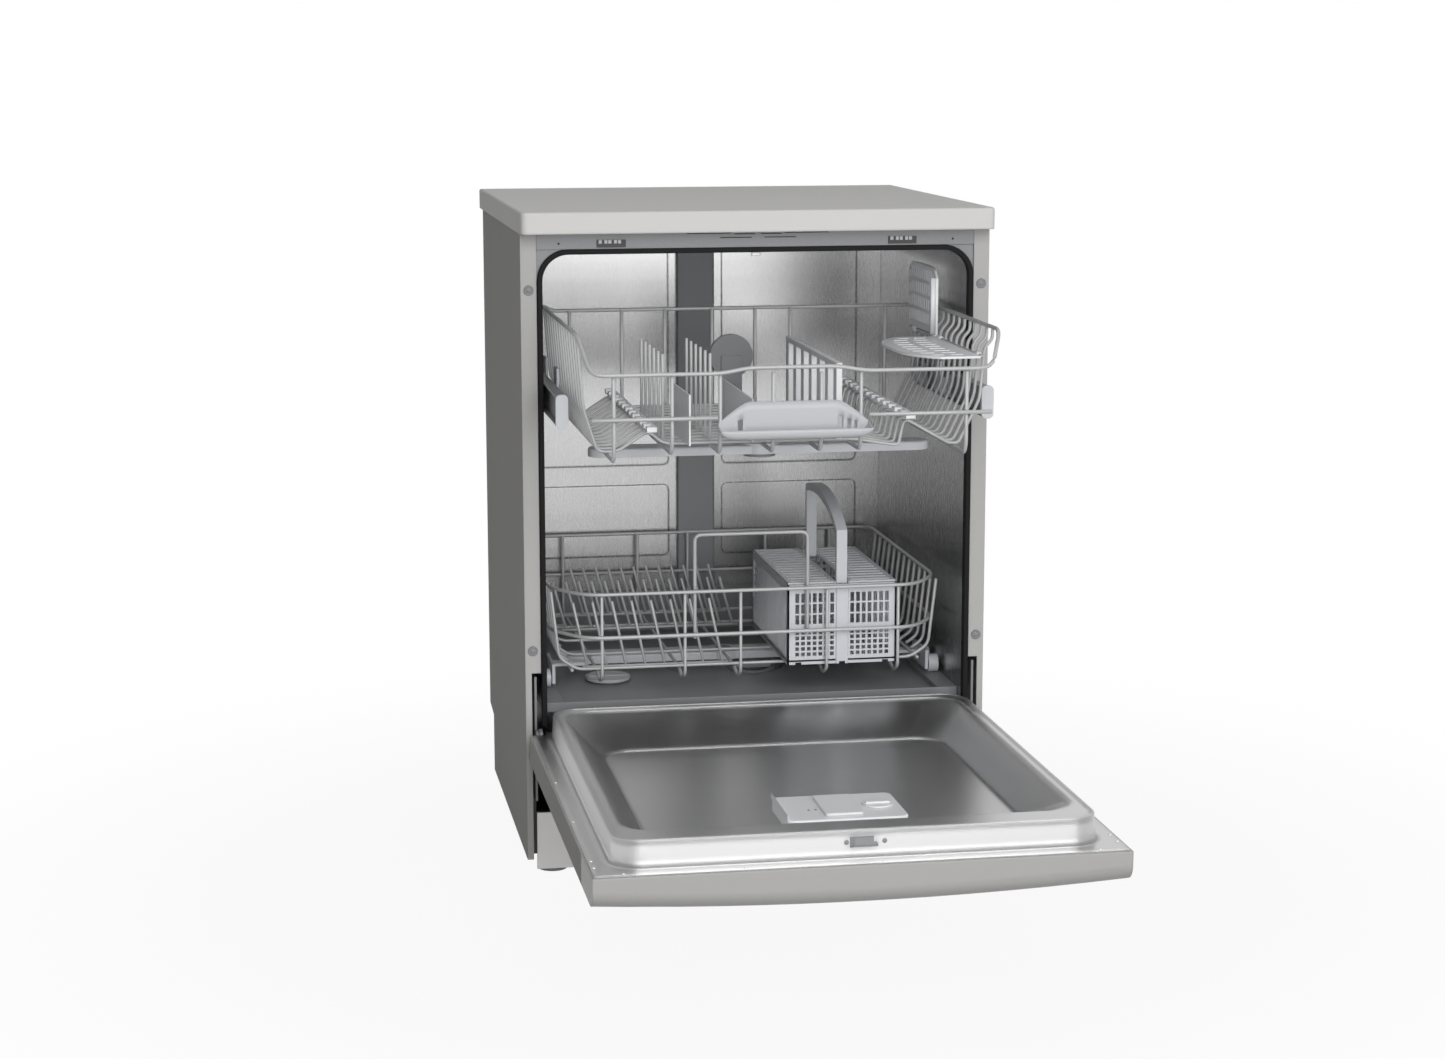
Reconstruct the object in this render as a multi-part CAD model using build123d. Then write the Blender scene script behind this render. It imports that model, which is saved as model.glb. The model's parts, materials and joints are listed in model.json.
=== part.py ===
from build123d import *
from math import pi, tan
import os

os.makedirs("parts", exist_ok=True)

# Free-standing dishwasher with its door open. Millimetres, X to the right, Y to the back, Z up from the floor.
# The model is drawn with Y = 0 on the front face of the cabinet posts. save() then moves it so that the
# origin lies on the floor under the middle of the whole object.

# Cabinet
overall_height = 850.0
worktop_side_overhang = 1.5
worktop_rear_overhang = 33.0
worktop_thickness = 27.0
worktop_overhang = 25.0
worktop_edge_radius = 9.0
cabinet_width = 597.0
back_space = 22.0
sheet = 1.0
post_width = 20.0
post_return = 8.0
lower_post_width = 8.0
notch_height = 268.0
panel_bottom = 24.0
rear_step_depth = 55.0
rear_step_height = 105.0
flange_width = 14.0
plug_radius = 6.2
plug_stem_radius = 4.9
plug_clearance = 0.1
plug_drop = 44.0
plug_lift = 29.0
crossbar_depth = 12.0
clip_width = 36.0
clip_height = 9.0
clip_offset = 185.0
clip_drop = 9.0

# Tub
tub_side_gap = 26.5
rack_back_gap = 12.0
roof_gap = 26.0
tub_bottom = 206.0
tub_corner_radius = 33.0
tub_flange = 11.0
gasket_width = 6.0
gasket_proud = 3.7
gasket_bottom = 200.0
emboss_depth = 1.5
emboss_margin = 36.0
emboss_low = 48.0
emboss_split_low = 427.0
emboss_split_high = 456.0
emboss_top_gap = 30.0
channel_width = 54.0
channel_thickness = 8.0
floor_thickness = 4.0
floor_bottom = 210.0
basin_front = 28.0
basin_wall = 3.0
basin_rear_top = 276.0
wheel_track = 222.0
ledge_width = 26.0
running_gap = 0.3
shaft_gap = 0.05

# Sump and wash system
sump_y = 255.0
sump_radius = 84.0
sump_depth = 60.0
filter_radius = 26.0
hub_radius = 14.0
lower_arm_reach = 222.0
upper_arm_reach = 218.0
arm_width = 42.0
arm_thickness = 11.0
salt_x = -170.0
salt_y = 180.0
salt_radius = 30.0
softener_width = 138.0
softener_length = 240.0
softener_height = 98.0

# Base
tray_front = 26.0
tray_rear_gap = 2.0
tray_wall = 4.0
tray_wall_top = 100.0
plinth_top = 80.0
plinth_bottom = 5.0
plinth_inset = 14.5
plinth_depth = 6.0
foot_radius = 18.5
foot_height = 8.0
foot_stem_radius = 6.0
foot_inset = 36.5
foot_y = 42.0
rear_foot_inset = 35.0
foot_stem_top = 55.0

# Door, drawn open
hinge_y = -8.0
hinge_z = 188.0
hinge_pin_radius = 5.0
door_gap = 6.0
door_side_gap = 3.0
door_side_drop = 35.0
door_bow = 10.0
fascia_length = 95.0
tail_inset = 19.5
tail_length = 80.0
liner_sheet = 1.0
flange_lift = 4.0
rim_height = 30.0
rim_inset = 25.0
rim_front_margin = 26.0
rim_side_width = 17.0
rim_front_width = 40.0
rim_rear_width = 20.0
dish_drop = 6.0
dish_side_slope = 37.0
dish_front_slope = 76.0
dish_rear_slope = 70.0
rim_corner = 36.0
rim_taper = 4.0
fascia_wall = 2.5
fascia_edge_radius = 20.0
arm_plate = 4.0
hinge_ring = 9.5
bracket_plate = 3.0
bracket_gap = 1.0

# Racks
rack_home_front = 38.0
rack_depth = 440.0
upper_out = 270.0
upper_drop = 215.0
upper_wall_gap = 29.0
wire_radius = 2.0
frame_wire_radius = 2.5
lower_wire_radius = 2.2
rail_length = 340.0
rail_behind_front = 107.0
rail_height = 36.0
rail_width = 13.0
rail_wall_gap = 2.0
rail_lift = 18.0
rail_sheet = 2.0
rail_web = 1.4
cap_length = 6.0
cap_margin = 2.5
roller_width = 5.0
roller_axle_radius = 4.0
wheel_radius = 12.0
wheel_width = 13.0
wheel_axle_radius = 4.0
shelf_width = 86.0
shelf_thickness = 3.0
basket_width = 145.0
basket_depth = 250.0
basket_height = 106.0
basket_wall_gap = 78.0
basket_setback = 10.5
basket_wall = 2.5
handle_width = 14.0
handle_thickness = 8.0
handle_span = 194.0
handle_setback = 4.0

# Places that follow from the sizes above
worktop_bottom = overall_height - worktop_thickness
half = cabinet_width / 2
tub_back_y = rack_home_front + rack_depth + rack_back_gap
cabinet_depth = tub_back_y + back_space
worktop_depth = worktop_overhang + cabinet_depth + worktop_rear_overhang
tray_back = cabinet_depth - rear_step_depth - tray_rear_gap
rear_foot_y = tray_back - rear_foot_inset
worktop_half = half + worktop_side_overhang
tub_half = half - tub_side_gap
tub_roof = worktop_bottom - roof_gap
ledge_inner = tub_half - ledge_width
plinth_half = half - plinth_inset
foot_x = half - foot_inset
door_half = half - door_side_gap
tail_half = door_half - tail_inset
rim_half = door_half - rim_inset
rail_outer = tub_half - rail_wall_gap
rail_inner = rail_outer - rail_width
upper_floor = tub_roof - upper_drop
rail_bottom = upper_floor + rail_lift
inner_half = half - sheet
post_inner = half - post_width
tub_front = sheet + post_return
gasket_inner = tub_half - 0.5
gasket_outer = gasket_inner + gasket_width
gasket_arch = tub_roof - 0.5
gasket_top = gasket_arch + gasket_width
flange_z = hinge_z - hinge_y - flange_lift
door_front = hinge_y - (worktop_bottom - door_gap - hinge_z)
rim_top = flange_z + rim_height
rim_front = door_front + rim_front_margin
rim_rear = hinge_y + 2
dish_z = flange_z - dish_drop
side_z = flange_z - liner_sheet - door_side_drop
fascia_rear = door_front + fascia_length
upper_front = rack_home_front - upper_out
upper_rear = upper_front + rack_depth
rail_front = upper_front + rail_behind_front
lower_front = rack_home_front
lower_rear = lower_front + rack_depth
worktop_back = worktop_depth - worktop_overhang
frame_shift = -(worktop_back + door_front) / 2


def save(name, *solids):
    """Write one node, moved to the library frame."""
    moved = [Pos(0, frame_shift, 0) * s for shape in solids for s in shape.solids()]
    node = moved[0] if len(moved) == 1 else Compound(children=moved)
    export_step(node, f"parts/{name}.step")


def block(x0, x1, y0, y1, z0, z1):
    """Box between two corners."""
    return Pos((x0 + x1) / 2, (y0 + y1) / 2, (z0 + z1) / 2) * Box(x1 - x0, y1 - y0, z1 - z0)


def rod(start, end, radius):
    """Round bar from one point to another."""
    a, b = Vector(*start), Vector(*end)
    bar = Cylinder(radius, (b - a).length, align=(Align.CENTER, Align.CENTER, Align.MIN))
    return Plane(origin=a, z_dir=b - a) * bar


def mirrored(shape):
    """The same piece on the other side of the middle plane."""
    return mirror(shape, about=Plane.YZ)


def both(shape):
    """A left and right pair."""
    return [shape, mirrored(shape)]


def along_y(face, y0, y1):
    """Carry an outline in X and Z from y0 to y1."""
    plane = Plane(origin=(0, y1, 0), x_dir=(1, 0, 0), z_dir=(0, -1, 0))
    return extrude(plane * face, y1 - y0)


def along_x(face, x0, x1):
    """Carry an outline in Y and Z from x0 to x1."""
    plane = Plane(origin=(x0, 0, 0), x_dir=(0, 1, 0), z_dir=(1, 0, 0))
    return extrude(plane * face, x1 - x0)


def arch(side, bottom, top, radius):
    """Upright outline with two round top corners."""
    face = Pos(0, (bottom + top) / 2) * Rectangle(2 * side, top - bottom)
    return fillet(face.vertices().sort_by(Axis.Y)[-2:], radius)


def wire(points, radius, closed=False):
    """A bent wire as straight lengths that meet face to face on the mitre of each bend."""
    nodes = [Vector(*p) for p in points]
    count = len(nodes) if closed else len(nodes) - 1
    ways = [(nodes[(i + 1) % len(nodes)] - nodes[i]).normalized() for i in range(count)]
    lengths = []
    for i in range(count):
        a, b = nodes[i], nodes[(i + 1) % len(nodes)]
        before = ways[i - 1] if closed or i > 0 else None
        after = ways[(i + 1) % count] if closed or i < count - 1 else None
        start = a - ways[i] * (2 * radius if before else 0)
        end = b + ways[i] * (2 * radius if after else 0)
        bar = rod(tuple(start), tuple(end), radius)
        if before:
            bar = split(bar, Plane(origin=a, z_dir=before + ways[i]), keep=Keep.TOP)
        if after:
            bar = split(bar, Plane(origin=b, z_dir=after + ways[i]), keep=Keep.BOTTOM)
        lengths.append(bar)
    return lengths


# Worktop: a board with a rounded front edge and rounded plan corners
board = block(-worktop_half, worktop_half, -worktop_overhang, worktop_back, worktop_bottom, overall_height)
board = fillet(board.edges().filter_by(Axis.Z).group_by(Axis.Y)[0], worktop_edge_radius)
board = fillet(board.faces().sort_by(Axis.Z)[-1].edges(), worktop_edge_radius / 3)
save("worktop", board)

# Side panels: folded sheet with a front post, a rear flange and a step for the hoses
step_y = cabinet_depth - rear_step_depth
side_outline = make_face(Polyline(
    (0, panel_bottom), (step_y, panel_bottom), (step_y, rear_step_height), (cabinet_depth, rear_step_height + 6),
    (cabinet_depth, worktop_bottom), (0, worktop_bottom), close=True))
panel = along_x(side_outline, inner_half, half)
panel += block(post_inner, inner_half, 0, sheet, notch_height, worktop_bottom)
panel += block(half - lower_post_width, inner_half, 0, sheet, panel_bottom, notch_height)
panel += block(post_inner, post_inner + sheet, sheet, tub_front, notch_height, worktop_bottom)
panel += block(inner_half - flange_width, inner_half, cabinet_depth - sheet, cabinet_depth,
               rear_step_height + 10, worktop_bottom)
plug_x = half - post_width / 2
plugs = []
for z in (notch_height + plug_lift, tub_roof - plug_drop):
    panel -= rod((plug_x, -sheet, z), (plug_x, 2 * sheet, z), plug_stem_radius + plug_clearance)
    plug = rod((plug_x, -2 * sheet, z), (plug_x, 0, z), plug_radius)
    plugs += both(plug + rod((plug_x, 0, z), (plug_x, post_return / 2, z), plug_stem_radius))
save("right_side_panel", panel)
save("left_side_panel", mirrored(panel))
save("frame_plugs", *plugs)

save("rear_panel", block(-inner_half + running_gap, inner_half - running_gap, cabinet_depth - 2 * sheet,
                         cabinet_depth - sheet, rear_step_height + 10, worktop_bottom - running_gap))

# Top crossbar between the posts, with the two worktop clips on it
bar_bottom = gasket_top + running_gap
bar_half = post_inner - running_gap
crossbar = block(-bar_half, bar_half, 0, sheet, bar_bottom, worktop_bottom)
crossbar += block(-bar_half, bar_half, sheet, crossbar_depth, worktop_bottom - sheet, worktop_bottom)
save("top_crossbar", crossbar)
clip_top = worktop_bottom - clip_drop
clip = block(clip_offset - clip_width / 2, clip_offset + clip_width / 2, -2 * sheet, 0,
             clip_top - clip_height, clip_top)
save("worktop_clips", *both(clip))

# Tub: folded wrap with a front flange, embossed back, plastic floor
wrap = along_y(arch(tub_half + sheet, tub_bottom, tub_roof + sheet, tub_corner_radius + sheet)
               - arch(tub_half, tub_bottom - 1, tub_roof, tub_corner_radius), tub_front, tub_back_y)
wrap += along_y(arch(tub_half + tub_flange, notch_height, tub_roof + tub_flange, tub_corner_radius + tub_flange)
                - arch(tub_half, tub_bottom - 1, tub_roof, tub_corner_radius), tub_front, tub_front + sheet)
roller_z = rail_bottom + rail_height / 2
roller_gap = 6.0
roller_radius = rail_height / 2 - rail_sheet - running_gap
roller_middle = 180.0
roller_ys = [roller_middle + side * (roller_radius + roller_gap / 2) for side in (-1, 1)]
for y in roller_ys:
    axle_hole = rod((-tub_half - 2, y, roller_z), (tub_half + 2, y, roller_z), roller_axle_radius + shaft_gap)
    wrap -= axle_hole
save("tub_wrap", wrap)

back = along_y(arch(tub_half + sheet, tub_bottom, tub_roof + sheet, tub_corner_radius + sheet),
               tub_back_y, tub_back_y + sheet)
panel_gap = channel_width / 2 + 12
panel_outer = tub_half - emboss_margin
fields = ((basin_rear_top + emboss_low, emboss_split_low), (emboss_split_high, tub_roof - emboss_top_gap))
for low, high in fields:
    for left, right in ((-panel_outer, -panel_gap), (panel_gap, panel_outer)):
        field = Pos((left + right) / 2, (low + high) / 2) * RectangleRounded(right - left, high - low, 8)
        back += along_y(field, tub_back_y - emboss_depth, tub_back_y)
save("tub_back", back)

basin_half = tub_half - running_gap
basin_back = tub_back_y - running_gap
floor_top = floor_bottom + floor_thickness
basin = block(-basin_half, basin_half, basin_front, basin_back, floor_bottom, floor_top)
basin += block(-basin_half, basin_half, basin_back - basin_wall, basin_back, floor_top, basin_rear_top)
basin += block(-basin_half, basin_half, basin_front, basin_front + basin_wall, floor_top, wheel_track)
for ledge in both(block(ledge_inner, basin_half, basin_front, basin_back, floor_top, wheel_track)):
    basin += ledge
salt_neck_radius = salt_radius - 5
basin -= Pos(0, sump_y, floor_bottom) * Cylinder(sump_radius, 4 * floor_thickness)
basin -= Pos(salt_x, salt_y, floor_bottom) * Cylinder(salt_neck_radius + running_gap, 4 * floor_thickness)
save("tub_floor", basin)

save("door_gasket", along_y(
    arch(gasket_outer, gasket_bottom, gasket_top, tub_corner_radius + gasket_width)
    - arch(gasket_inner, gasket_bottom - 1, gasket_arch, tub_corner_radius), -gasket_proud, tub_front))

save("feed_channel", fillet(
    block(-channel_width / 2, channel_width / 2, tub_back_y - emboss_depth - channel_thickness, tub_back_y,
          basin_rear_top + running_gap, tub_roof - 8).edges().filter_by(Axis.Z).group_by(Axis.Y)[0], 3))

# Door strike: a bent tongue under the tub roof, just behind the gasket
strike_y = tub_front + 4
save("door_strike", block(-9, 9, strike_y - 3, strike_y + 12, tub_roof - 2, tub_roof)
     + block(-6, 6, strike_y, strike_y + 2, tub_roof - 6.5, tub_roof - 2))

# Sump and filters
sump_bottom = floor_bottom - sump_depth
cup = Pos(0, sump_y, 0) * (
    Pos(0, 0, floor_bottom - 2) * Cylinder(sump_radius + 10, 4)
    + Pos(0, 0, (sump_bottom + floor_bottom) / 2) * Cylinder(sump_radius, sump_depth)
    - Pos(0, 0, (sump_bottom + floor_bottom) / 2 + 4) * Cylinder(sump_radius - 4, sump_depth))
post_top = floor_top + 8
lower_arm_bottom = wheel_track + 2
arm_post_top = lower_arm_bottom + arm_thickness + 2
arm_post_radius = hub_radius - 4
cup += Pos(0, sump_y, (sump_bottom + post_top) / 2) * Cylinder(hub_radius, post_top - sump_bottom)
cup += Pos(0, sump_y, (post_top + arm_post_top) / 2) * Cylinder(arm_post_radius, arm_post_top - post_top)
save("sump", cup)
plate_top = floor_bottom + 3
screen_radius = sump_radius - 4 - running_gap
filter_x, filter_y = 0.4 * sump_radius, sump_y - 0.4 * sump_radius
mesh = Pos(0, sump_y, plate_top - 1.5) * Cylinder(screen_radius, 3)
mesh += Pos(0, sump_y, plate_top - 9) * Cylinder(screen_radius, 12)
mesh -= Pos(0, sump_y, plate_top - 10) * Cylinder(screen_radius - 5, 14)
mesh -= Pos(0, sump_y, plate_top) * Cylinder(hub_radius + running_gap, 20)
mesh -= Pos(filter_x, filter_y, plate_top) * Cylinder(filter_radius + 2, 20)
save("flat_filter", mesh)
collar_z = plate_top + running_gap
micro = Pos(filter_x, filter_y, collar_z + 0.8) * Cylinder(filter_radius + 6, 1.6)
micro += Pos(filter_x, filter_y, collar_z - 20) * Cylinder(filter_radius, 42)
micro -= Pos(filter_x, filter_y, collar_z - 20) * Cylinder(filter_radius - 3, 60)
micro += Pos(filter_x, filter_y, collar_z + 3) * Box(2 * filter_radius, 4, 5)
save("micro_filter", micro)


def spray_arm(centre_y, bottom, reach, bore, hub_top):
    """A flat blade with round ends and a hub that turns on a round post."""
    blade = Pos(0, centre_y, bottom) * extrude(SlotOverall(2 * reach, arm_width), arm_thickness)
    blade = fillet(blade.faces().sort_by(Axis.Z)[-1].edges(), 3)
    hub_length = hub_top - bottom
    blade += Pos(0, centre_y, bottom + hub_length / 2) * Cylinder(arm_width / 2 + 4, hub_length)
    return blade - Pos(0, centre_y, bottom) * Cylinder(bore, 4 * hub_length)


save("lower_spray_arm", spray_arm(sump_y, lower_arm_bottom, lower_arm_reach, arm_post_radius + shaft_gap,
                                  lower_arm_bottom + arm_thickness))

# Water softener with its neck, and the twist cap on it
neck_top = floor_top + 2 - running_gap
softener_left = salt_x - softener_width / 2 - 11
softener_front = salt_y - softener_length / 4
softener = block(softener_left, softener_left + softener_width, softener_front, softener_front + softener_length,
                 floor_bottom - softener_height, floor_bottom)
softener += Pos(salt_x, salt_y, 0) * rod((0, 0, floor_bottom), (0, 0, neck_top), salt_neck_radius)
save("water_softener", softener)
cap_low = neck_top + running_gap
cap_height = wheel_track - cap_low - 2
salt = Pos(salt_x, salt_y, cap_low + cap_height / 2) * Cylinder(salt_radius, cap_height)
grip_top = cap_low + cap_height + 1
salt += block(salt_x - salt_radius + 4, salt_x + salt_radius - 4, salt_y - 4, salt_y + 4, cap_low, grip_top)
save("salt_cap", salt)

# Pumps
pump_z = sump_bottom + 22
pump = rod((sump_radius + running_gap, sump_y, pump_z), (sump_radius + 24, sump_y, pump_z), 16)
pump += rod((sump_radius + 24, sump_y, pump_z - 20), (sump_radius + 64, sump_y, pump_z - 20), 52)
pump += rod((sump_radius + 64, sump_y, pump_z - 20), (sump_radius + 150, sump_y, pump_z - 20), 42)
save("circulation_pump", pump)
drain = rod((0, sump_y + sump_radius + running_gap, pump_z), (0, sump_y + sump_radius + 18, pump_z), 12)
drain += rod((0, sump_y + sump_radius + 18, pump_z), (0, sump_y + sump_radius + 84, pump_z), 27)
save("drain_pump", drain)

# Base tray on three levelling feet, with the plinth in front
feet = {"foot_front_left": (-foot_x, foot_y), "foot_front_right": (foot_x, foot_y),
        "foot_rear": (0.0, rear_foot_y)}
tray_floor_top = panel_bottom + tray_wall
tray_half = inner_half - running_gap
tray = block(-tray_half, tray_half, tray_front, tray_back, panel_bottom, tray_wall_top)
tray -= block(-tray_half + tray_wall, tray_half - tray_wall, tray_front + tray_wall, tray_back - tray_wall,
              tray_floor_top, tray_wall_top + 1)
tray -= block(-plinth_half, plinth_half, tray_front - 1, tray_front + tray_wall + 1,
              plinth_top, tray_wall_top + 1)
for x, y in feet.values():
    tray += rod((x, y, tray_floor_top), (x, y, foot_stem_top), 2 * foot_stem_radius)
    tray -= Pos(x, y, panel_bottom) * Cylinder(foot_stem_radius + shaft_gap, 200)
inlet_x, drain_x, outlet_z = -150.0, 120.0, 70.0
inlet_radius, drain_radius, neck_step, connector_length = 13.2, 11.0, 3.0, 25.0
for x, radius in ((inlet_x, inlet_radius), (drain_x, drain_radius)):
    tray -= rod((x, tray_back - 20, outlet_z), (x, tray_back + 5, outlet_z), radius - neck_step + running_gap)
save("base_tray", tray)
for name, (x, y) in feet.items():
    foot = Pos(x, y, foot_height / 2) * Cylinder(foot_radius, foot_height)
    foot = fillet(foot.edges().group_by(Axis.Z)[-1], 2)
    save(name, foot + Pos(x, y, (foot_height + foot_stem_top) / 2)
         * Cylinder(foot_stem_radius, foot_stem_top - foot_height))
plinth = block(-plinth_half, plinth_half, tray_front - plinth_depth, tray_front - plinth_depth + 2 * sheet,
               plinth_bottom, plinth_top)
for end in both(block(plinth_half - 2 * sheet, plinth_half, tray_front - plinth_depth, tray_front,
                      plinth_bottom, plinth_top)):
    plinth += end
save("plinth", plinth)

# Hose connectors: inlet valve and drain spigot through the tray's rear wall
connectors = []
for x, radius, width in ((inlet_x, inlet_radius, 44.0), (drain_x, drain_radius, 32.0)):
    inside = tray_back - tray_wall - running_gap
    outside = tray_back + running_gap
    fitting = block(x - width / 2, x + width / 2, inside - 50, inside, tray_floor_top, outlet_z + width / 2)
    fitting += rod((x, inside, outlet_z), (x, outside, outlet_z), radius - neck_step)
    fitting += rod((x, outside, outlet_z), (x, outside + connector_length, outlet_z), radius)
    connectors.append(fitting)
save("hose_connectors", *connectors)

# Hinge brackets: upright plates with an ear and a pin, seated on the tray walls
arm_outer = tail_half + 3 + arm_plate
bracket_inner = arm_outer + bracket_gap
bracket_outer = bracket_inner + bracket_plate
upright = block(bracket_inner, bracket_outer, 4, 40, tray_wall_top, notch_height - 6)
upright += block(bracket_inner, tray_half, tray_front + 2, 40, tray_wall_top, tray_wall_top + 3)
upright += block(bracket_inner, bracket_outer, hinge_y, 4, hinge_z - 6, hinge_z + 6)
upright += rod((bracket_inner, hinge_y, hinge_z), (bracket_outer, hinge_y, hinge_z), hinge_pin_radius + 3)
upright += rod((tail_half + 2, hinge_y, hinge_z), (bracket_inner, hinge_y, hinge_z), hinge_pin_radius)
save("hinge_brackets", *both(upright))


# Door liner: one formed sheet with a flange, a raised rim and a sloped dish
def liner_form(inset, drop, bottom):
    """The solid under the liner's top surface, drawn in on every side by inset."""
    body = block(-door_half + 2.5, door_half - 2.5, door_front + 3, hinge_y + flange_lift,
                 bottom, flange_z - drop)
    length = rim_rear - rim_front - 2 * inset
    middle = (rim_rear + rim_front) / 2
    outline = Pos(0, middle, bottom) * RectangleRounded(2 * (rim_half - inset), length, rim_corner - inset)
    body += extrude(outline, flange_z - bottom)
    outline = Pos(0, middle, flange_z - 1) * RectangleRounded(2 * (rim_half - inset), length, rim_corner - inset)
    body += extrude(outline, rim_top - drop - flange_z + 1, taper=rim_taper)
    top_front, top_rear = rim_front + rim_front_width, rim_rear - rim_rear_width
    low_front, low_rear = top_front + dish_front_slope, top_rear - dish_rear_slope
    mouth = RectangleRounded(2 * (rim_half - rim_side_width + inset), top_rear - top_front + 2 * inset, rim_corner)
    base = RectangleRounded(2 * (rim_half - rim_side_width - dish_side_slope + inset),
                            low_rear - low_front + 2 * inset, rim_corner)
    pocket = loft([Pos(0, (top_front + top_rear) / 2, rim_top) * mouth,
                   Pos(0, (low_front + low_rear) / 2, dish_z - drop) * base])
    return body - pocket


liner = liner_form(0, 0, dish_z - 8) - liner_form(liner_sheet, liner_sheet, dish_z - 9)
corner_cut = block(tail_half - 1, door_half, hinge_y - 10, hinge_y + 20, dish_z - 20, rim_top)
for cut in both(corner_cut):
    liner -= cut
latch_half, latch_low, latch_high = 13.0, flange_z + 11.5, flange_z + 22.5
liner -= block(-latch_half - running_gap, latch_half + running_gap, rim_front - 5, rim_front + 8,
               latch_low - running_gap, latch_high + running_gap)
save("door_liner", liner)
save("door_latch", block(-latch_half, latch_half, rim_front + 2, rim_front + 26, latch_low, latch_high))


# Outer panel and fascia share one bowed section
def bowed(inset, top):
    """Cross-section with straight sides and a bowed face, drawn in by inset."""
    side = door_half - inset
    low = side_z + inset
    bottom_arc = ThreePointArc((-side, low), (0, low - door_bow), (side, low))
    return make_face([bottom_arc, Line((side, low), (side, top)), Line((side, top), (-side, top)),
                      Line((-side, top), (-side, low))])


section_top = flange_z - liner_sheet
rear_y = hinge_y + flange_lift - 1
skin_section = bowed(0, section_top) - bowed(sheet, section_top + 5)
panel_front = fascia_rear + running_gap
panel_skin = along_y(skin_section, panel_front, rear_y)
for lip in both(block(arm_outer + 1, door_half - sheet, panel_front, rear_y,
                      section_top - sheet, section_top)):
    panel_skin += lip
for cut in both(corner_cut):
    panel_skin -= cut
tail_y = hinge_y + tail_length
tail = along_y(skin_section, rear_y, tail_y) & block(-tail_half, tail_half, rear_y, tail_y, 0, hinge_z - 20)
save("door_panel", panel_skin + tail)


def fascia_form(inset, top):
    """The rounded end of the door, drawn in by inset."""
    form = along_y(bowed(inset, top), door_front + inset, fascia_rear)
    lower_edge = form.edges().group_by(Axis.Y)[0].sort_by(Axis.Z)[0]
    return fillet(lower_edge, fascia_edge_radius - inset)


grip_half, grip_low, grip_high, grip_depth = 85.0, 37.0, 65.0, 16.0
face_z = side_z - door_bow
fascia = fascia_form(0, section_top) - fascia_form(fascia_wall, section_top + 5)
fascia += block(-grip_half - 3, grip_half + 3, door_front + grip_low - 3, door_front + grip_high + 3,
                face_z + 2.2, face_z + grip_depth + 3)
fascia -= block(-grip_half, grip_half, door_front + grip_low, door_front + grip_high,
                face_z - 5, face_z + grip_depth)
button_edge, button_pitch = 90.5, 65.0
button_xs = {"power_button": door_half - button_edge - button_pitch, "start_button": door_half - button_edge}
button_y = door_front + 50
button_radius = 6.0


def bow_z(x):
    """Height of the bowed face at x."""
    return face_z + door_bow * (x / door_half) ** 2


for x in button_xs.values():
    fascia -= Pos(x, button_y, face_z) * Cylinder(button_radius + running_gap, 40)
save("control_fascia", fascia)

button_length = 14.0
for name, x in button_xs.items():
    low = bow_z(x)
    button = rod((x, button_y, low - 2), (x, button_y, low + button_length), button_radius)
    stop = low + fascia_wall + 0.6
    button += rod((x, button_y, stop), (x, button_y, stop + 2), button_radius + 2)
    save(name, button)

# Hinge arms under the liner's flange, each with a ring round its pin
arm_inner = arm_outer - arm_plate
arm = block(arm_inner, arm_outer, hinge_y - 112, hinge_y, flange_z - liner_sheet - 9, flange_z - liner_sheet)
arm += rod((arm_inner, hinge_y, hinge_z), (arm_outer, hinge_y, hinge_z), hinge_ring)
arm -= rod((arm_inner - 1, hinge_y, hinge_z), (arm_outer + 1, hinge_y, hinge_z), hinge_pin_radius + shaft_gap)
save("hinge_arms", *both(arm))

# Detergent dispenser on the dish: body with a cup, sliding lid, rinse aid cap
disp_left, disp_width, disp_setback, disp_length, disp_height = -56.0, 140.0, 153.0, 102.0, 13.0
disp_right, disp_front = disp_left + disp_width, door_front + disp_setback
disp_back = disp_front + disp_length
disp_top = dish_z + disp_height
dispenser = block(disp_left, disp_right, disp_front, disp_back, dish_z, disp_top)
dispenser = fillet(dispenser.edges().filter_by(Axis.Z), 10)
dispenser = fillet(dispenser.faces().sort_by(Axis.Z)[-1].edges(), 2)
cup_left, cup_right = -6.0, 30.0
dispenser -= block(cup_left, cup_right, disp_front + 16, disp_back - 16, dish_z + 2, disp_top + 1)
save("dispenser_body", dispenser)
lid_gap, lid_thickness = 0.3, 3.0
lid = block(cup_left - 4, cup_right + 4, disp_front + 12, disp_back - 12, disp_top + lid_gap,
            disp_top + lid_gap + lid_thickness)
save("dispenser_lid", fillet(lid.edges().filter_by(Axis.Z), 4))
cap_x, cap_y, cap_radius = 58.0, (disp_front + disp_back) / 2, 17.0
rinse = Pos(cap_x, cap_y, disp_top + lid_gap + 1) * Cylinder(cap_radius, 2)
save("rinse_aid_cap", rinse + Pos(cap_x, cap_y, disp_top + lid_gap + 2.5) * Box(2 * cap_radius - 6, 5, 3))

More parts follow.
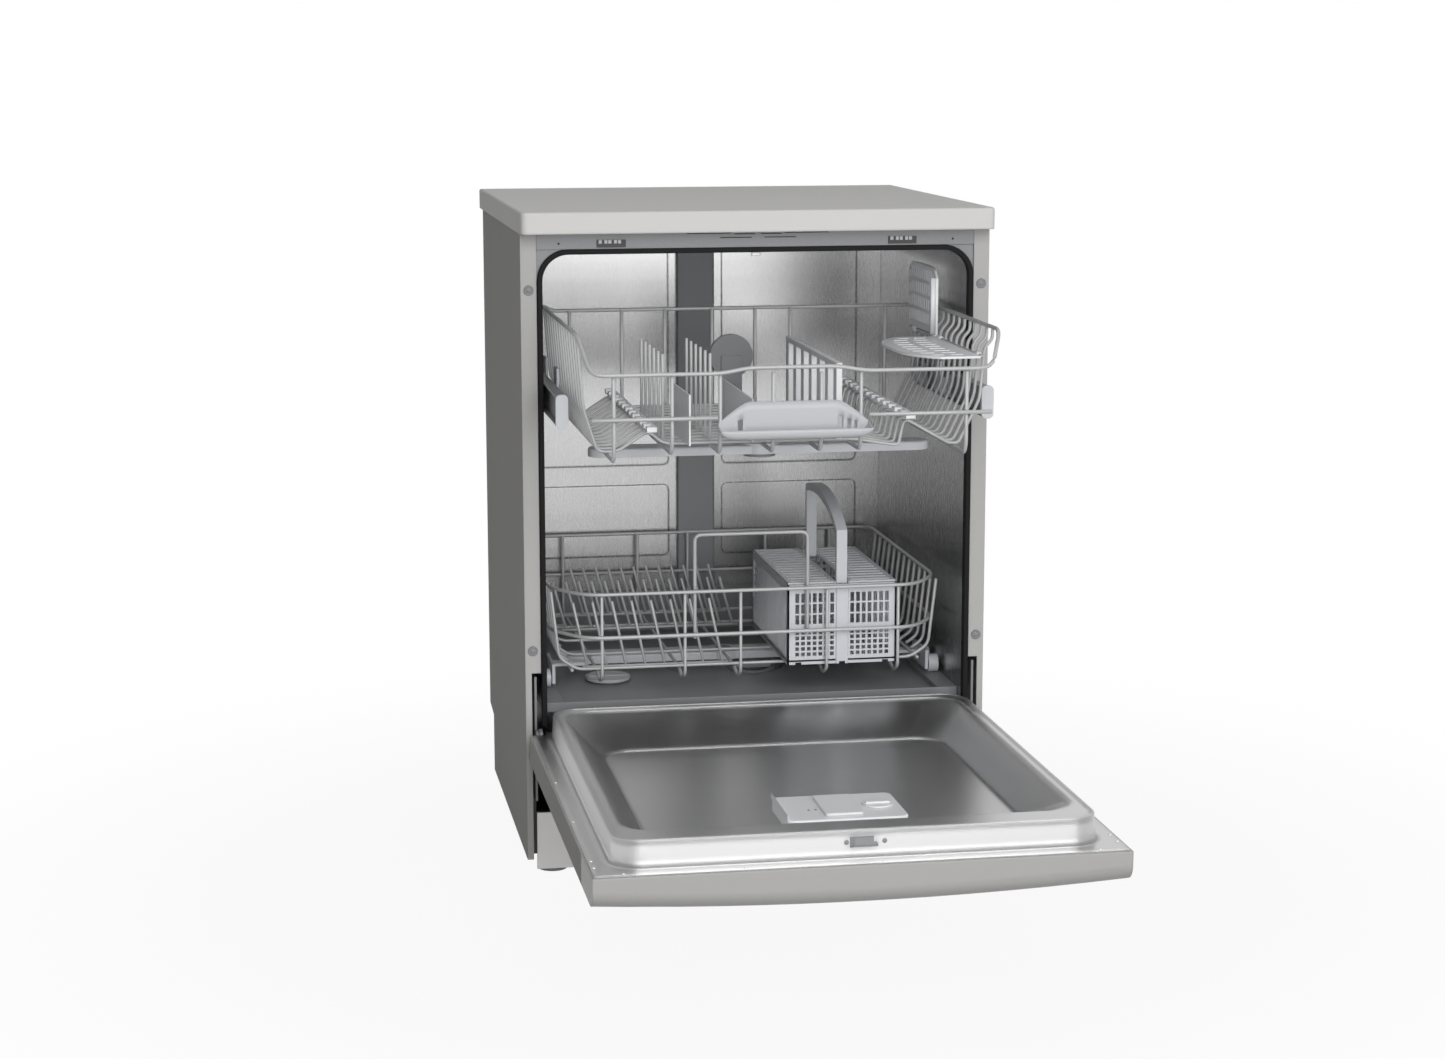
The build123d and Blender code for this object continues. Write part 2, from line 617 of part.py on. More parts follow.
# Upper rack rails: I sections that run on rollers in the tub wall
rail_back = rail_front + rail_length
rail_top = rail_bottom + rail_height
web_x = (rail_inner + rail_outer) / 2
rail = block(web_x - rail_web / 2, web_x + rail_web / 2, rail_front, rail_back, rail_bottom, rail_top)
rail += block(rail_inner, rail_outer, rail_front, rail_back, rail_bottom, rail_bottom + rail_sheet)
rail += block(rail_inner, rail_outer, rail_front, rail_back, rail_top - rail_sheet, rail_top)
save("upper_rails", *both(rail))
end_cap = block(rail_inner - 1, rail_outer + 1, rail_front - cap_length, rail_front,
                rail_bottom - cap_margin, rail_top + cap_margin)
end_cap = fillet(end_cap.edges().filter_by(Axis.Y), 6)
save("rail_end_caps", *both(end_cap))
roller_in = web_x + rail_web / 2 + 0.6
for name, y in zip(("rail_rollers_front", "rail_rollers_rear"), roller_ys):
    roller = rod((roller_in, y, roller_z), (roller_in + roller_width, y, roller_z), roller_radius)
    roller += rod((roller_in + roller_width, y, roller_z), (tub_half + sheet + 4, y, roller_z),
                  roller_axle_radius)
    save(name, *both(roller))

# Upper rack: cross wires shaped into gutters and ridges, lengthways wires, a top frame and two rows of tines
shoulder_z, side_z_top, gutter_z = upper_floor + 46, upper_floor + 130, upper_floor - 8
upper_half_low = tub_half - upper_wall_gap
wall_slope = 1 / 12
left_top = upper_half_low + wall_slope * (side_z_top - shoulder_z)
ledge_z, right_top = upper_floor + 108, upper_half_low + 15
left_ridge_x, left_ridge_z = 78 - upper_half_low, upper_floor + 16
right_ridge_x, right_ridge_z = upper_half_low - 94, upper_floor + 24
rise, right_rise = 60.0, 32.0
cross_pitch, cross_count = 26.4, 14
cross_ys = [upper_front + rise + 4 + cross_pitch * i for i in range(cross_count)]
profile = [(-left_top, side_z_top), (-upper_half_low, shoulder_z), (17 - upper_half_low, gutter_z),
           (41 - upper_half_low, gutter_z), (left_ridge_x, left_ridge_z), (left_ridge_x + 19, upper_floor),
           (right_ridge_x - 60, upper_floor), (right_ridge_x - 15, gutter_z), (right_ridge_x - 7, gutter_z),
           (right_ridge_x, right_ridge_z), (upper_half_low - 38, gutter_z), (upper_half_low - 26, gutter_z),
           (upper_half_low, shoulder_z), (upper_half_low + wall_slope * (ledge_z - shoulder_z), ledge_z),
           (right_top, ledge_z + 10), (right_top, side_z_top)]
upper_wires = []
for y in cross_ys:
    upper_wires += wire([(x, y, z) for x, z in profile], wire_radius)
under = wire_radius + frame_wire_radius
tine_xs = (left_ridge_x + 20, left_ridge_x + 77.5)
gutter_rib = upper_half_low - 32
upper_ribs = {29 - upper_half_low: gutter_z, tine_xs[0]: upper_floor, tine_xs[1]: upper_floor, -24.0: upper_floor,
              right_ridge_x - 115: upper_floor, right_ridge_x - 67: upper_floor, gutter_rib: gutter_z}
front_rail_z, rear_rail_z = upper_floor + 90.5, upper_floor + 125
upright_y = upper_rear - 2 * frame_wire_radius
for x, z in upper_ribs.items():
    low = z - under
    upper_wires += wire([(x, upright_y, rear_rail_z), (x, upright_y, low), (x, upper_front + 12, low),
                         (x, upper_front + 2 * frame_wire_radius, low + 14),
                         (x, upper_front + 2 * frame_wire_radius, front_rail_z - 1)], frame_wire_radius)
side_rail_z = side_z_top + frame_wire_radius
front_corner = upper_half_low - 2
hump_half, hump, rear_drop = 55.0, 6.0, 14.0
right_loop = [(hump_half, upper_front, front_rail_z + hump), (hump_half + 30, upper_front, front_rail_z),
              (front_corner, upper_front, front_rail_z), (right_top, upper_front + right_rise, side_rail_z),
              (right_top, upper_rear, side_rail_z), (right_top - rear_drop, upper_rear, rear_rail_z)]
left_loop = [(rear_drop - left_top, upper_rear, rear_rail_z), (-left_top, upper_rear, side_rail_z),
             (-left_top, upper_front + rise, side_rail_z), (-front_corner, upper_front, front_rail_z),
             (-hump_half - 30, upper_front, front_rail_z), (-hump_half, upper_front, front_rail_z + hump)]
upper_wires += wire(right_loop + left_loop, frame_wire_radius, closed=True)
tray_half_width = 90.0
front_low_z = upper_floor + 38
for side in (-1, 1):
    upper_wires += wire([(side * (tray_half_width + 1), upper_front, front_low_z),
                         (side * front_corner, upper_front, front_low_z)], frame_wire_radius)
shelf_hinge_z = upper_floor + 98
shelf_hinge_x = upper_half_low + wall_slope * (shelf_hinge_z - shoulder_z) - 2 * wire_radius
upper_wires += wire([(shelf_hinge_x, cross_ys[0] - 8, shelf_hinge_z),
                     (shelf_hinge_x, cross_ys[-1] + 8, shelf_hinge_z)], wire_radius)
tine_top, tine_count = upper_floor + 106, 6
tine_ys = [cross_ys[0] + cross_pitch * (1 / 2 + 4 / 3 * i) for i in range(tine_count)]
for x in tine_xs:
    for y in tine_ys:
        upper_wires += wire([(x, y, upper_floor - wire_radius), (x, y, tine_top)], wire_radius)
save("upper_rack", *upper_wires)

# White handle tray hooked on the front of the upper rack
tray_low, tray_back_top, lip_top = upper_floor + 15, upper_floor + 56, upper_floor + 25
tray_depth, tray_sheet, tray_chamfer, cheek_top = 23.0, 2.5, 36.0, lip_top + 6
tray_y1 = upper_front + frame_wire_radius
tray_y0 = tray_y1 - tray_depth
hand = along_y(make_face(Polyline(
    (-tray_half_width, tray_low), (tray_half_width, tray_low), (tray_half_width, cheek_top),
    (tray_half_width - tray_chamfer, tray_back_top), (tray_chamfer - tray_half_width, tray_back_top),
    (-tray_half_width, cheek_top), close=True)), tray_y1 - tray_sheet, tray_y1)
hand += block(-tray_half_width, tray_half_width, tray_y0, tray_y1, tray_low, tray_low + tray_sheet)
hand += block(-tray_half_width, tray_half_width, tray_y0, tray_y0 + tray_sheet, tray_low, lip_top)
cheek = make_face(Polyline((tray_y0, tray_low), (tray_y1, tray_low), (tray_y1, cheek_top), (tray_y0, lip_top),
                           close=True))
for end in both(along_x(cheek, tray_half_width - tray_sheet, tray_half_width)):
    hand += end
save("rack_handle", hand)

# Feed pipe with the round docking disc, and the spray arm under it
pipe_half, pipe_height = 20.0, 14.0
pipe_top = upper_floor - wire_radius - 0.2
pipe_bottom = pipe_top - pipe_height
upper_arm_y = upper_front + rack_depth / 2
dock_y = upper_rear - 12
dock_z = upper_floor + 63
dock_radius = 29.0
pipe = block(-pipe_half, pipe_half, upper_arm_y - 22, dock_y, pipe_bottom, pipe_top)
pipe += block(-14, 14, dock_y - 8, dock_y, pipe_bottom, dock_z)
pipe += rod((0, dock_y - 6, dock_z), (0, dock_y, dock_z), dock_radius)
arm_bottom, arm_hub, arm_pin_radius, collar = upper_floor - 36, 13.5, 9.0, 4.0
neck_bottom = arm_bottom + arm_hub + running_gap
pipe += rod((0, upper_arm_y, neck_bottom), (0, upper_arm_y, pipe_bottom), arm_pin_radius + 7)
pipe += rod((0, upper_arm_y, arm_bottom - running_gap), (0, upper_arm_y, neck_bottom), arm_pin_radius)
pipe += rod((0, upper_arm_y, arm_bottom - running_gap - collar), (0, upper_arm_y, arm_bottom - running_gap),
            arm_pin_radius + 11)
save("upper_feed_pipe", pipe)
save("upper_spray_arm", spray_arm(upper_arm_y, arm_bottom, upper_arm_reach, arm_pin_radius + shaft_gap,
                                  arm_bottom + arm_hub))

# Plastic inserts on the upper rack's wires: a comb for glasses, two dividers and two notched ridge strips
insert_foot = upper_floor + wire_radius + 0.2
comb_x, comb_width, comb_front, comb_pitch, comb_posts = right_ridge_x - 87, 7.0, upper_front + 60, 49.0, 7
comb_top = upper_floor + 94
comb_end = comb_front + comb_pitch * (comb_posts - 1)
comb = block(comb_x, comb_x + comb_width, comb_front - 9, comb_end + 9, comb_top - 6, comb_top)
comb += block(comb_x, comb_x + comb_width, comb_front - 9, comb_end + 9, insert_foot, insert_foot + 6)
for i in range(comb_posts):
    y = comb_front + comb_pitch * i
    comb += block(comb_x, comb_x + comb_width, y - 9, y + 9, insert_foot, comb_top)
divider = 2.0
dividers = [block(x, x + divider, y0, y1, insert_foot, top) for x, y0, y1, top in (
    (tine_xs[0] + 23, upper_front + 22, upper_front + 157, upper_floor + 63),
    (tine_xs[1] + 45, upper_front + 42, upper_front + 257, upper_floor + 54))]
strips = []
strip_half, strip_height, strip_end, notch_count = 6.0, 6.0, upper_rear - 28, 12
for x, z in ((left_ridge_x, left_ridge_z + 1.3 * wire_radius),
             (right_ridge_x, right_ridge_z + 1.75 * wire_radius)):
    strip = block(x - strip_half, x + strip_half, upper_front + 30, strip_end, z, z + strip_height)
    for i in range(notch_count):
        y = upper_front + 50 + i * (strip_end - upper_front - 70) / (notch_count - 1)
        strip -= block(x - strip_half - 1, x + strip_half - 3, y - 8, y + 8, z + 2, z + strip_height + 1)
    strips.append(strip)
save("rack_inserts", comb, *dividers, *strips)

# Sliders carry the upper rack in the inner channel of each rail
slider_offsets = (290.0, 415.0)
slider_ys = [upper_front + offset for offset in slider_offsets]
slider_outer = web_x - rail_web / 2 - running_gap
plate_z = roller_z + 32
plate_x = upper_half_low + wall_slope * (plate_z - shoulder_z) + wire_radius + 0.15
sliders = []
for y in slider_ys:
    shoe = block(rail_inner + 0.5, slider_outer, y - 16, y + 16, rail_bottom + rail_sheet + running_gap,
                 rail_top - rail_sheet - running_gap)
    shoe += block(plate_x + 3, rail_inner + 0.5, y - 10, y + 10, roller_z - 10, roller_z + 10)
    shoe += block(plate_x, plate_x + 3, y - 16, y + 16, roller_z - 10, plate_z)
    sliders += both(shoe)
save("rack_sliders", *sliders)

# Two cup shelves on the right side wire: the front one lies flat, the rear one is folded up
knuckle_radius = 4.0


def cup_shelf(first, last, before, after):
    """A flat slatted shelf on two knuckles, each just behind the cross wire of that number."""
    knuckles = [cross_ys[i] + cross_pitch / 2 for i in (first, last)]
    y0, y1 = knuckles[0] - before, knuckles[1] + after
    outer = shelf_hinge_x - knuckle_radius
    low, high = shelf_hinge_z - shelf_thickness / 2, shelf_hinge_z + shelf_thickness / 2
    shelf = block(outer - shelf_width, outer, y0, y1, low, high)
    shelf = fillet(shelf.edges().filter_by(Axis.Z).group_by(Axis.X)[0], 14)
    slots = round((y1 - y0) / cross_pitch) - 1
    for i in range(slots):
        slot_y = y0 + 16 + i * (y1 - y0 - 32) / (slots - 1)
        shelf -= block(outer - shelf_width + 18, outer - 12, slot_y - 6, slot_y + 6, low - 1, high + 1)
    for y in knuckles:
        shelf += rod((shelf_hinge_x, y - 8, shelf_hinge_z), (shelf_hinge_x, y + 8, shelf_hinge_z), knuckle_radius)
        shelf += block(outer - 2, shelf_hinge_x, y - 8, y + 8, low, high)
    return shelf - rod((shelf_hinge_x, y0 - 50, shelf_hinge_z), (shelf_hinge_x, y1 + 50, shelf_hinge_z),
                       wire_radius + shaft_gap)


shelf_axis = Axis((shelf_hinge_x, 0, shelf_hinge_z), (0, 1, 0))
save("cup_shelf_front", cup_shelf(0, 7, 30, 15))
save("cup_shelf_rear", cup_shelf(8, 12, 8, 34).rotate(shelf_axis, 90))

# Lower rack: side wires, floor wires, two rings, lengthways wires with hooked ends, tines and a handle loop
lower_floor, lower_side, lower_shoulder = tub_bottom + 46, tub_bottom + 150, tub_bottom + 62
lower_half_top, lower_half_mid, lower_half_floor = tub_half - 16, tub_half - 26, tub_half - 50
side_count, cross_step = 13, 3
lower_pitch = (rack_depth - 88) / (side_count - 1)
lower_ys = [lower_front + 46 + lower_pitch * i for i in range(side_count)]
low = lower_floor - 2 * lower_wire_radius
edge_x = lower_half_floor + 8
edge_slope = (lower_shoulder - lower_floor) / (lower_half_mid - lower_half_floor)
edge_z = lower_floor + (edge_x - lower_half_floor) * edge_slope
profile = [(-lower_half_top, lower_side), (-lower_half_mid, lower_shoulder), (-lower_half_floor, lower_floor)]
lower_wires = []
for i, y in enumerate(lower_ys):
    if i % cross_step == 0:
        across = profile + [(-x, z) for x, z in reversed(profile)]
        lower_wires += wire([(x, y, z) for x, z in across], lower_wire_radius)
        continue
    for side in (-1, 1):
        lower_wires += wire([(side * lower_half_top, y, lower_side), (side * lower_half_mid, y, lower_shoulder),
                             (side * edge_x, y, edge_z)], lower_wire_radius)
for side in (-1, 1):
    lower_wires += wire([(side * edge_x, lower_ys[0] - 8, edge_z - 2.3 * lower_wire_radius),
                         (side * edge_x, lower_ys[-1] + 8, edge_z - 2.3 * lower_wire_radius)], lower_wire_radius)
ring_z, second_z = lower_side + frame_wire_radius, lower_shoulder + 34
side_slope = (lower_half_top - lower_half_mid) / (lower_side - lower_shoulder)
mid_half = lower_half_mid + side_slope * (second_z - lower_shoulder)
chamfer_x, chamfer_y = 40.0, 60.0
for ring_half, z in ((lower_half_top, ring_z),
                     (mid_half + lower_wire_radius + frame_wire_radius + 0.1, second_z)):
    lower_wires += wire([(-ring_half, lower_rear, z), (-ring_half, lower_front + chamfer_y, z),
                         (chamfer_x - ring_half, lower_front, z), (ring_half - chamfer_x, lower_front, z),
                         (ring_half, lower_front + chamfer_y, z), (ring_half, lower_rear, z)],
                        frame_wire_radius, closed=True)
beside = frame_wire_radius + lower_wire_radius
hook_y, hook_z = lower_front + 31, low - 9
for x in (27 - lower_half_floor, -87.0, -14.0, 100.0, lower_half_floor - 27):
    lower_wires += wire([(x, lower_rear - beside, ring_z), (x, lower_rear - beside, low), (x, hook_y + 20, low),
                         (x, hook_y, hook_z), (x, lower_front + beside, low + 2), (x, lower_front + beside, ring_z)],
                        lower_wire_radius)
carrier_z = low + lower_wire_radius + wire_radius
tine_foot = carrier_z + wire_radius
tine_left, tine_lean = 14 - lower_half_floor, 18.0


def tine_row(y, first, count, pitch, height):
    """A carrier wire across the rack with leaning tines on it."""
    xs = [first + pitch * i for i in range(count)]
    row = wire([(tine_left - 6, y, carrier_z), (xs[-1] + 8, y, carrier_z)], wire_radius)
    for x in xs:
        row += wire([(x, y, tine_foot), (x - tine_lean, y, tine_foot + height)], wire_radius)
    return row


lower_wires += tine_row(lower_front + 59, tine_left, 8, 25.6, 84)
lower_wires += tine_row(lower_front + 293, tine_left, 14, 18, 66)
lower_wires += tine_row(lower_front + 389, tine_left + 36, 12, 18, 66)
loop_half, loop_top = 74.0, lower_side + 76
loop_y = lower_front + 2 * frame_wire_radius
loop_foot = second_z - 6
lower_wires += wire([(-loop_half, loop_y, loop_foot), (-loop_half, loop_y, loop_top), (loop_half, loop_y, loop_top),
                     (loop_half, loop_y, loop_foot)], frame_wire_radius)
save("lower_rack", *lower_wires)

# Lower rack wheels in tandem pairs, on brackets clipped under the floor wires
wheel_z = wheel_track + running_gap + wheel_radius
plate_in, plate_out = lower_half_mid + lower_wire_radius + 0.3, lower_half_mid + lower_wire_radius + 4.3
wheel_in = plate_out + 1.5
pair_offsets = (105.0, 335.0)
axle_spread = 24.0
brackets = []
wheel_rows = {}
for end, offset in zip(("front", "rear"), pair_offsets):
    middle = lower_front + offset
    bracket = block(plate_in, plate_out, middle - 36, middle + 36, wheel_z - 6, wheel_z + 20)
    bracket += block(lower_half_floor - 18, plate_in, middle - 10, middle + 10, low - 2,
                     lower_floor - lower_wire_radius - 0.1)
    for row, shift in zip(("lead", "trail"), (-axle_spread, axle_spread)):
        y = middle + shift
        bracket += rod((plate_out, y, wheel_z), (wheel_in + wheel_width + 2, y, wheel_z), wheel_axle_radius)
        wheel = rod((wheel_in, y, wheel_z), (wheel_in + wheel_width, y, wheel_z), wheel_radius)
        wheel -= rod((wheel_in - 1, y, wheel_z), (wheel_in + wheel_width + 1, y, wheel_z),
                     wheel_axle_radius + shaft_gap)
        wheel_rows[f"wheels_{end}_{row}"] = both(wheel)
    brackets += both(bracket)
save("wheel_brackets", *brackets)
for name, wheels in wheel_rows.items():
    save(name, *wheels)

# Cutlery basket with a middle spine, a handle on the spine and two slatted flaps
basket_x1 = tub_half - basket_wall_gap
basket_left = basket_x1 - basket_width
basket_y0 = lower_front + basket_setback
basket_y1 = basket_y0 + basket_depth
basket_z0 = lower_floor + lower_wire_radius + 0.3
basket_z1 = basket_z0 + basket_height
spine_x = (basket_left + basket_x1) / 2
basket = block(basket_left, basket_x1, basket_y0, basket_y1, basket_z0, basket_z1)
for x0, x1 in ((basket_left + basket_wall, spine_x - handle_width / 2),
               (spine_x + handle_width / 2, basket_x1 - basket_wall)):
    basket -= block(x0, x1, basket_y0 + basket_wall, basket_y1 - basket_wall,
                    basket_z0 + basket_wall, basket_z1 + 1)
basket -= block(spine_x - handle_width / 2 + basket_wall, spine_x + handle_width / 2 - basket_wall,
                basket_y0 + basket_wall, basket_y1 - basket_wall, basket_z0 - 1, basket_z1 - basket_wall)
window_columns, window_width = 6, 6.0
for x0, x1 in ((basket_left + 8, spine_x - handle_width / 2 - 4),
               (spine_x + handle_width / 2 + 4, basket_x1 - 8)):
    for i in range(window_columns):
        x = x0 + (x1 - x0) * (i + 0.5) / window_columns
        for z0, z1 in ((basket_z0 + 10, basket_z0 + 46), (basket_z0 + 54, basket_z1 - 10)):
            basket -= block(x - window_width / 2, x + window_width / 2, basket_y0 - 1, basket_y1 + 1, z0, z1)
flap_gap, flap_thickness, slat_count, flap_pin_radius = 0.3, 2.5, 14, 1.2
flap_edge = spine_x - handle_width / 2 - 1
flap_axis_x = flap_edge - 2
flap_axis_z = basket_z1 + flap_gap + flap_thickness / 2
for y0, y1 in ((basket_y0, basket_y0 + basket_wall), (basket_y1 - basket_wall, basket_y1)):
    ear = block(flap_axis_x - 3, flap_edge + 1, y0, y1, basket_z1 - 1, flap_axis_z + 3)
    ear -= rod((flap_axis_x, y0 - 1, flap_axis_z), (flap_axis_x, y1 + 1, flap_axis_z),
               flap_pin_radius + shaft_gap)
    basket += ear
    basket += mirror(ear, about=Plane(origin=(spine_x, 0, 0), z_dir=(1, 0, 0)))
save("cutlery_basket", basket)
leg_front = basket_y0 + handle_setback
leg_rear = leg_front + handle_span
front_top, rear_top = basket_z1 + 70, basket_z1 + 100
arc_out = ThreePointArc((leg_front, front_top), (leg_front + 72, front_top + 30),
                        (leg_rear + handle_thickness, rear_top))
arc_in = ThreePointArc((leg_front + handle_thickness, front_top - 2), (leg_front + 78, front_top + 21),
                       (leg_rear, rear_top - handle_thickness))
arch_face = make_face([
    arc_out, Line((leg_rear + handle_thickness, rear_top), (leg_rear + handle_thickness, basket_z1)),
    Line((leg_rear + handle_thickness, basket_z1), (leg_rear, basket_z1)),
    Line((leg_rear, basket_z1), (leg_rear, rear_top - handle_thickness)), arc_in,
    Line((leg_front + handle_thickness, front_top - 2), (leg_front + handle_thickness, basket_z1)),
    Line((leg_front + handle_thickness, basket_z1), (leg_front, basket_z1)),
    Line((leg_front, basket_z1), (leg_front, front_top))])
save("basket_handle", along_x(arch_face, spine_x - handle_width / 2, spine_x + handle_width / 2))
flap_y0, flap_y1 = basket_y0 + basket_wall + running_gap, basket_y1 - basket_wall - running_gap
flap = block(basket_left + 1, flap_edge, flap_y0, flap_y1, basket_z1 + flap_gap,
             basket_z1 + flap_gap + flap_thickness)
for i in range(slat_count):
    y = basket_y0 + 12 + i * (basket_depth - 24) / (slat_count - 1)
    flap -= block(basket_left + 6, flap_edge - 5, y - 4.5, y + 4.5, basket_z1, basket_z1 + 10)
flap += rod((flap_axis_x, basket_y0, flap_axis_z), (flap_axis_x, flap_y0, flap_axis_z), flap_pin_radius)
flap += rod((flap_axis_x, flap_y1, flap_axis_z), (flap_axis_x, basket_y1, flap_axis_z), flap_pin_radius)
save("flap_left", flap)
save("flap_right", mirror(flap, about=Plane(origin=(spine_x, 0, 0), z_dir=(1, 0, 0))))

print(f"frame shift {frame_shift:.3f}, door front {door_front:.2f}, flange {flange_z:.2f}, rim top {rim_top:.2f}")
print(f"shelf hinge {shelf_hinge_x:.3f} {shelf_hinge_z:.2f}, upper arm {upper_arm_y:.2f} {arm_bottom:.2f}")
print(f"basket top {basket_z1:.2f}, flap axis {flap_axis_x:.2f} {flap_axis_z:.2f}, wheel {wheel_z:.2f}")
print(f"buttons {button_xs} at {button_y:.2f}, rollers {roller_ys} at {roller_z:.2f}, radius {roller_radius:.2f}")
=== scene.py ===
# %% [markdown]
# # A free-standing dishwasher with its door open
# The CAD model gives every solid its size and place. This script dresses it: it gives each CAD piece a
# finish, and it replaces the welded racks, the basket and the small trim by finer surfaces in the same
# frame. Lengths are in millimetres, as on the drawing, until they become a mesh in metres.

# %% Load the frame
import json
import math

import bpy
import numpy as np
from mathutils import Matrix


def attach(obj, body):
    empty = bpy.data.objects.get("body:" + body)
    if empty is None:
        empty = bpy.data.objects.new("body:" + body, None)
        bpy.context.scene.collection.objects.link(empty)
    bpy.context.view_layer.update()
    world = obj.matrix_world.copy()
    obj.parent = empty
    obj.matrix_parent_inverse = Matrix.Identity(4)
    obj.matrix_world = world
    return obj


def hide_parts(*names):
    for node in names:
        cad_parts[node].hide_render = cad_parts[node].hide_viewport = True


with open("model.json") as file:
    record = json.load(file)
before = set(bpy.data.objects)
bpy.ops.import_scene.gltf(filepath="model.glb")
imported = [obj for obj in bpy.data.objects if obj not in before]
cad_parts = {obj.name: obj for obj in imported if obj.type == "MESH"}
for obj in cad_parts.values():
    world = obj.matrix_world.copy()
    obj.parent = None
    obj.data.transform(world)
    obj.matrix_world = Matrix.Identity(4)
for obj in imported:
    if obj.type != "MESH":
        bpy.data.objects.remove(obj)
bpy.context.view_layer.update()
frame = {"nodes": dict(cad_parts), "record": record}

# %% [markdown]
# ## Turning numbers into meshes
# The drawing measures from the front face of the cabinet posts, so one small function moves its points
# into the frame. Each piece could be modelled by hand, but a shape that is a formula can be checked and
# changed. So a surface here is a grid of points. Each cell of the grid becomes one four-cornered face,
# and the ring at either end of a tube is closed by faces that reach straight across it.

# %% From a grid of points to faces
DRAWING_SHIFT = np.array([0.0, 46.0, 0.0])


def metres(points):
    """Millimetres of the drawing to metres of the frame: add the shift, divide by a thousand."""
    return (np.asarray(points, float) + DRAWING_SHIFT) / 1000


def cells(rows, columns):
    """Corner numbers of the faces between neighbouring points; the last column joins the first."""
    i, j = np.meshgrid(np.arange(rows - 1), np.arange(columns), indexing="ij")
    k = (j + 1) % columns
    here, above = i * columns, (i + 1) * columns
    return np.stack([here + j, here + k, above + k, above + j], -1).reshape(-1, 4)


def lid(first, columns):
    """Faces straight across an even ring: point i and i + 1 join the two points opposite them."""
    i = np.arange(columns // 2 - 1)
    return first + np.stack([i + 1, i, columns - 1 - i, columns - 2 - i], -1)


def tube_faces(rows, columns):
    """A closed tube: its wall and a lid on each end."""
    far_lid = lid((rows - 1) * columns, columns)[:, ::-1]
    return np.concatenate([cells(rows, columns), lid(0, columns), far_lid])


print("a tube of 2 rings of 8 points:", len(tube_faces(2, 8)), "faces")


# %% Sheets with windows
def windows(first, last, count, bar):
    """Pairs of lines round equal windows, with a bar between two windows and half a bar at either end."""
    pitch = (last - first) / count
    start = first + pitch * np.arange(count) + bar / 2
    return np.column_stack([start, start + pitch - bar])


def between(middles, pairs):
    """True for each middle that lies between the two lines of any pair."""
    return ((middles[:, None] > pairs[:, 0]) & (middles[:, None] < pairs[:, 1])).any(1)


def lattice(edges_u, edges_v, pairs_u, pairs_v, shape, cut=None):
    """A sheet on a grid of lines; the function shape gives the place of each crossing.

    It is open where a pair of u lines crosses a pair of v lines, and where cut says so.
    """
    pairs_u, pairs_v = np.reshape(pairs_u, (-1, 2)), np.reshape(pairs_v, (-1, 2))
    us = np.unique(np.round(np.concatenate([edges_u, pairs_u.ravel()]), 6))
    vs = np.unique(np.round(np.concatenate([edges_v, pairs_v.ravel()]), 6))
    mid_u, mid_v = (us[1:] + us[:-1]) / 2, (vs[1:] + vs[:-1]) / 2
    solid = ~(between(mid_u, pairs_u)[:, None] & between(mid_v, pairs_v)[None, :])
    if cut is not None:
        solid &= ~cut(mid_u[:, None], mid_v[None, :])
    u, v = (a.ravel() for a in np.meshgrid(us, vs, indexing="ij"))
    points = np.stack(np.broadcast_arrays(*shape(u, v)), -1)
    number = np.arange(len(u)).reshape(len(us), len(vs))
    i, j = np.nonzero(solid)
    faces = np.stack([number[i, j], number[i + 1, j], number[i + 1, j + 1], number[i, j + 1]], -1)
    used, faces = np.unique(faces, return_inverse=True)
    return points[used], faces.reshape(-1, 4)


print("two windows between 0 and 10:", windows(0, 10, 2, 1).tolist())

# %% Bars and turned shapes
CORNERS = np.array([(0, 0, 0), (1, 0, 0), (1, 1, 0), (0, 1, 0), (0, 0, 1), (1, 0, 1), (1, 1, 1), (0, 1, 1)])
SIDES = np.array([(0, 3, 2, 1), (4, 5, 6, 7), (0, 1, 5, 4), (1, 2, 6, 5), (2, 3, 7, 6), (3, 0, 4, 7)])
ANY_SLANT = (0.37, 0.61, 0.7)


def blocks(spans):
    """Straight bars, each given as x0, x1, y0, y1, z0, z1."""
    low, high = np.asarray(spans, float)[:, ::2], np.asarray(spans, float)[:, 1::2]
    points = low[:, None] + CORNERS * (high - low)[:, None]
    return points.reshape(-1, 3), (8 * np.arange(len(low))[:, None, None] + SIDES).reshape(-1, 4)


def turned(profile, centre, axis, sides=20):
    """A profile of (radius, height) pairs turned about an axis through the centre."""
    axis = np.asarray(axis, float)
    across = np.cross(axis, ANY_SLANT)
    across /= np.linalg.norm(across)
    other = np.cross(axis, across)
    turn = np.linspace(0, 2 * math.pi, sides, endpoint=False)[None, :, None]
    radius, height = np.asarray(profile, float).T[:, :, None, None]
    points = centre + height * axis + radius * (np.cos(turn) * across + np.sin(turn) * other)
    return points.reshape(-1, 3), tube_faces(len(profile), sides)


print("a bar has", len(CORNERS), "corners and", len(SIDES), "sides")


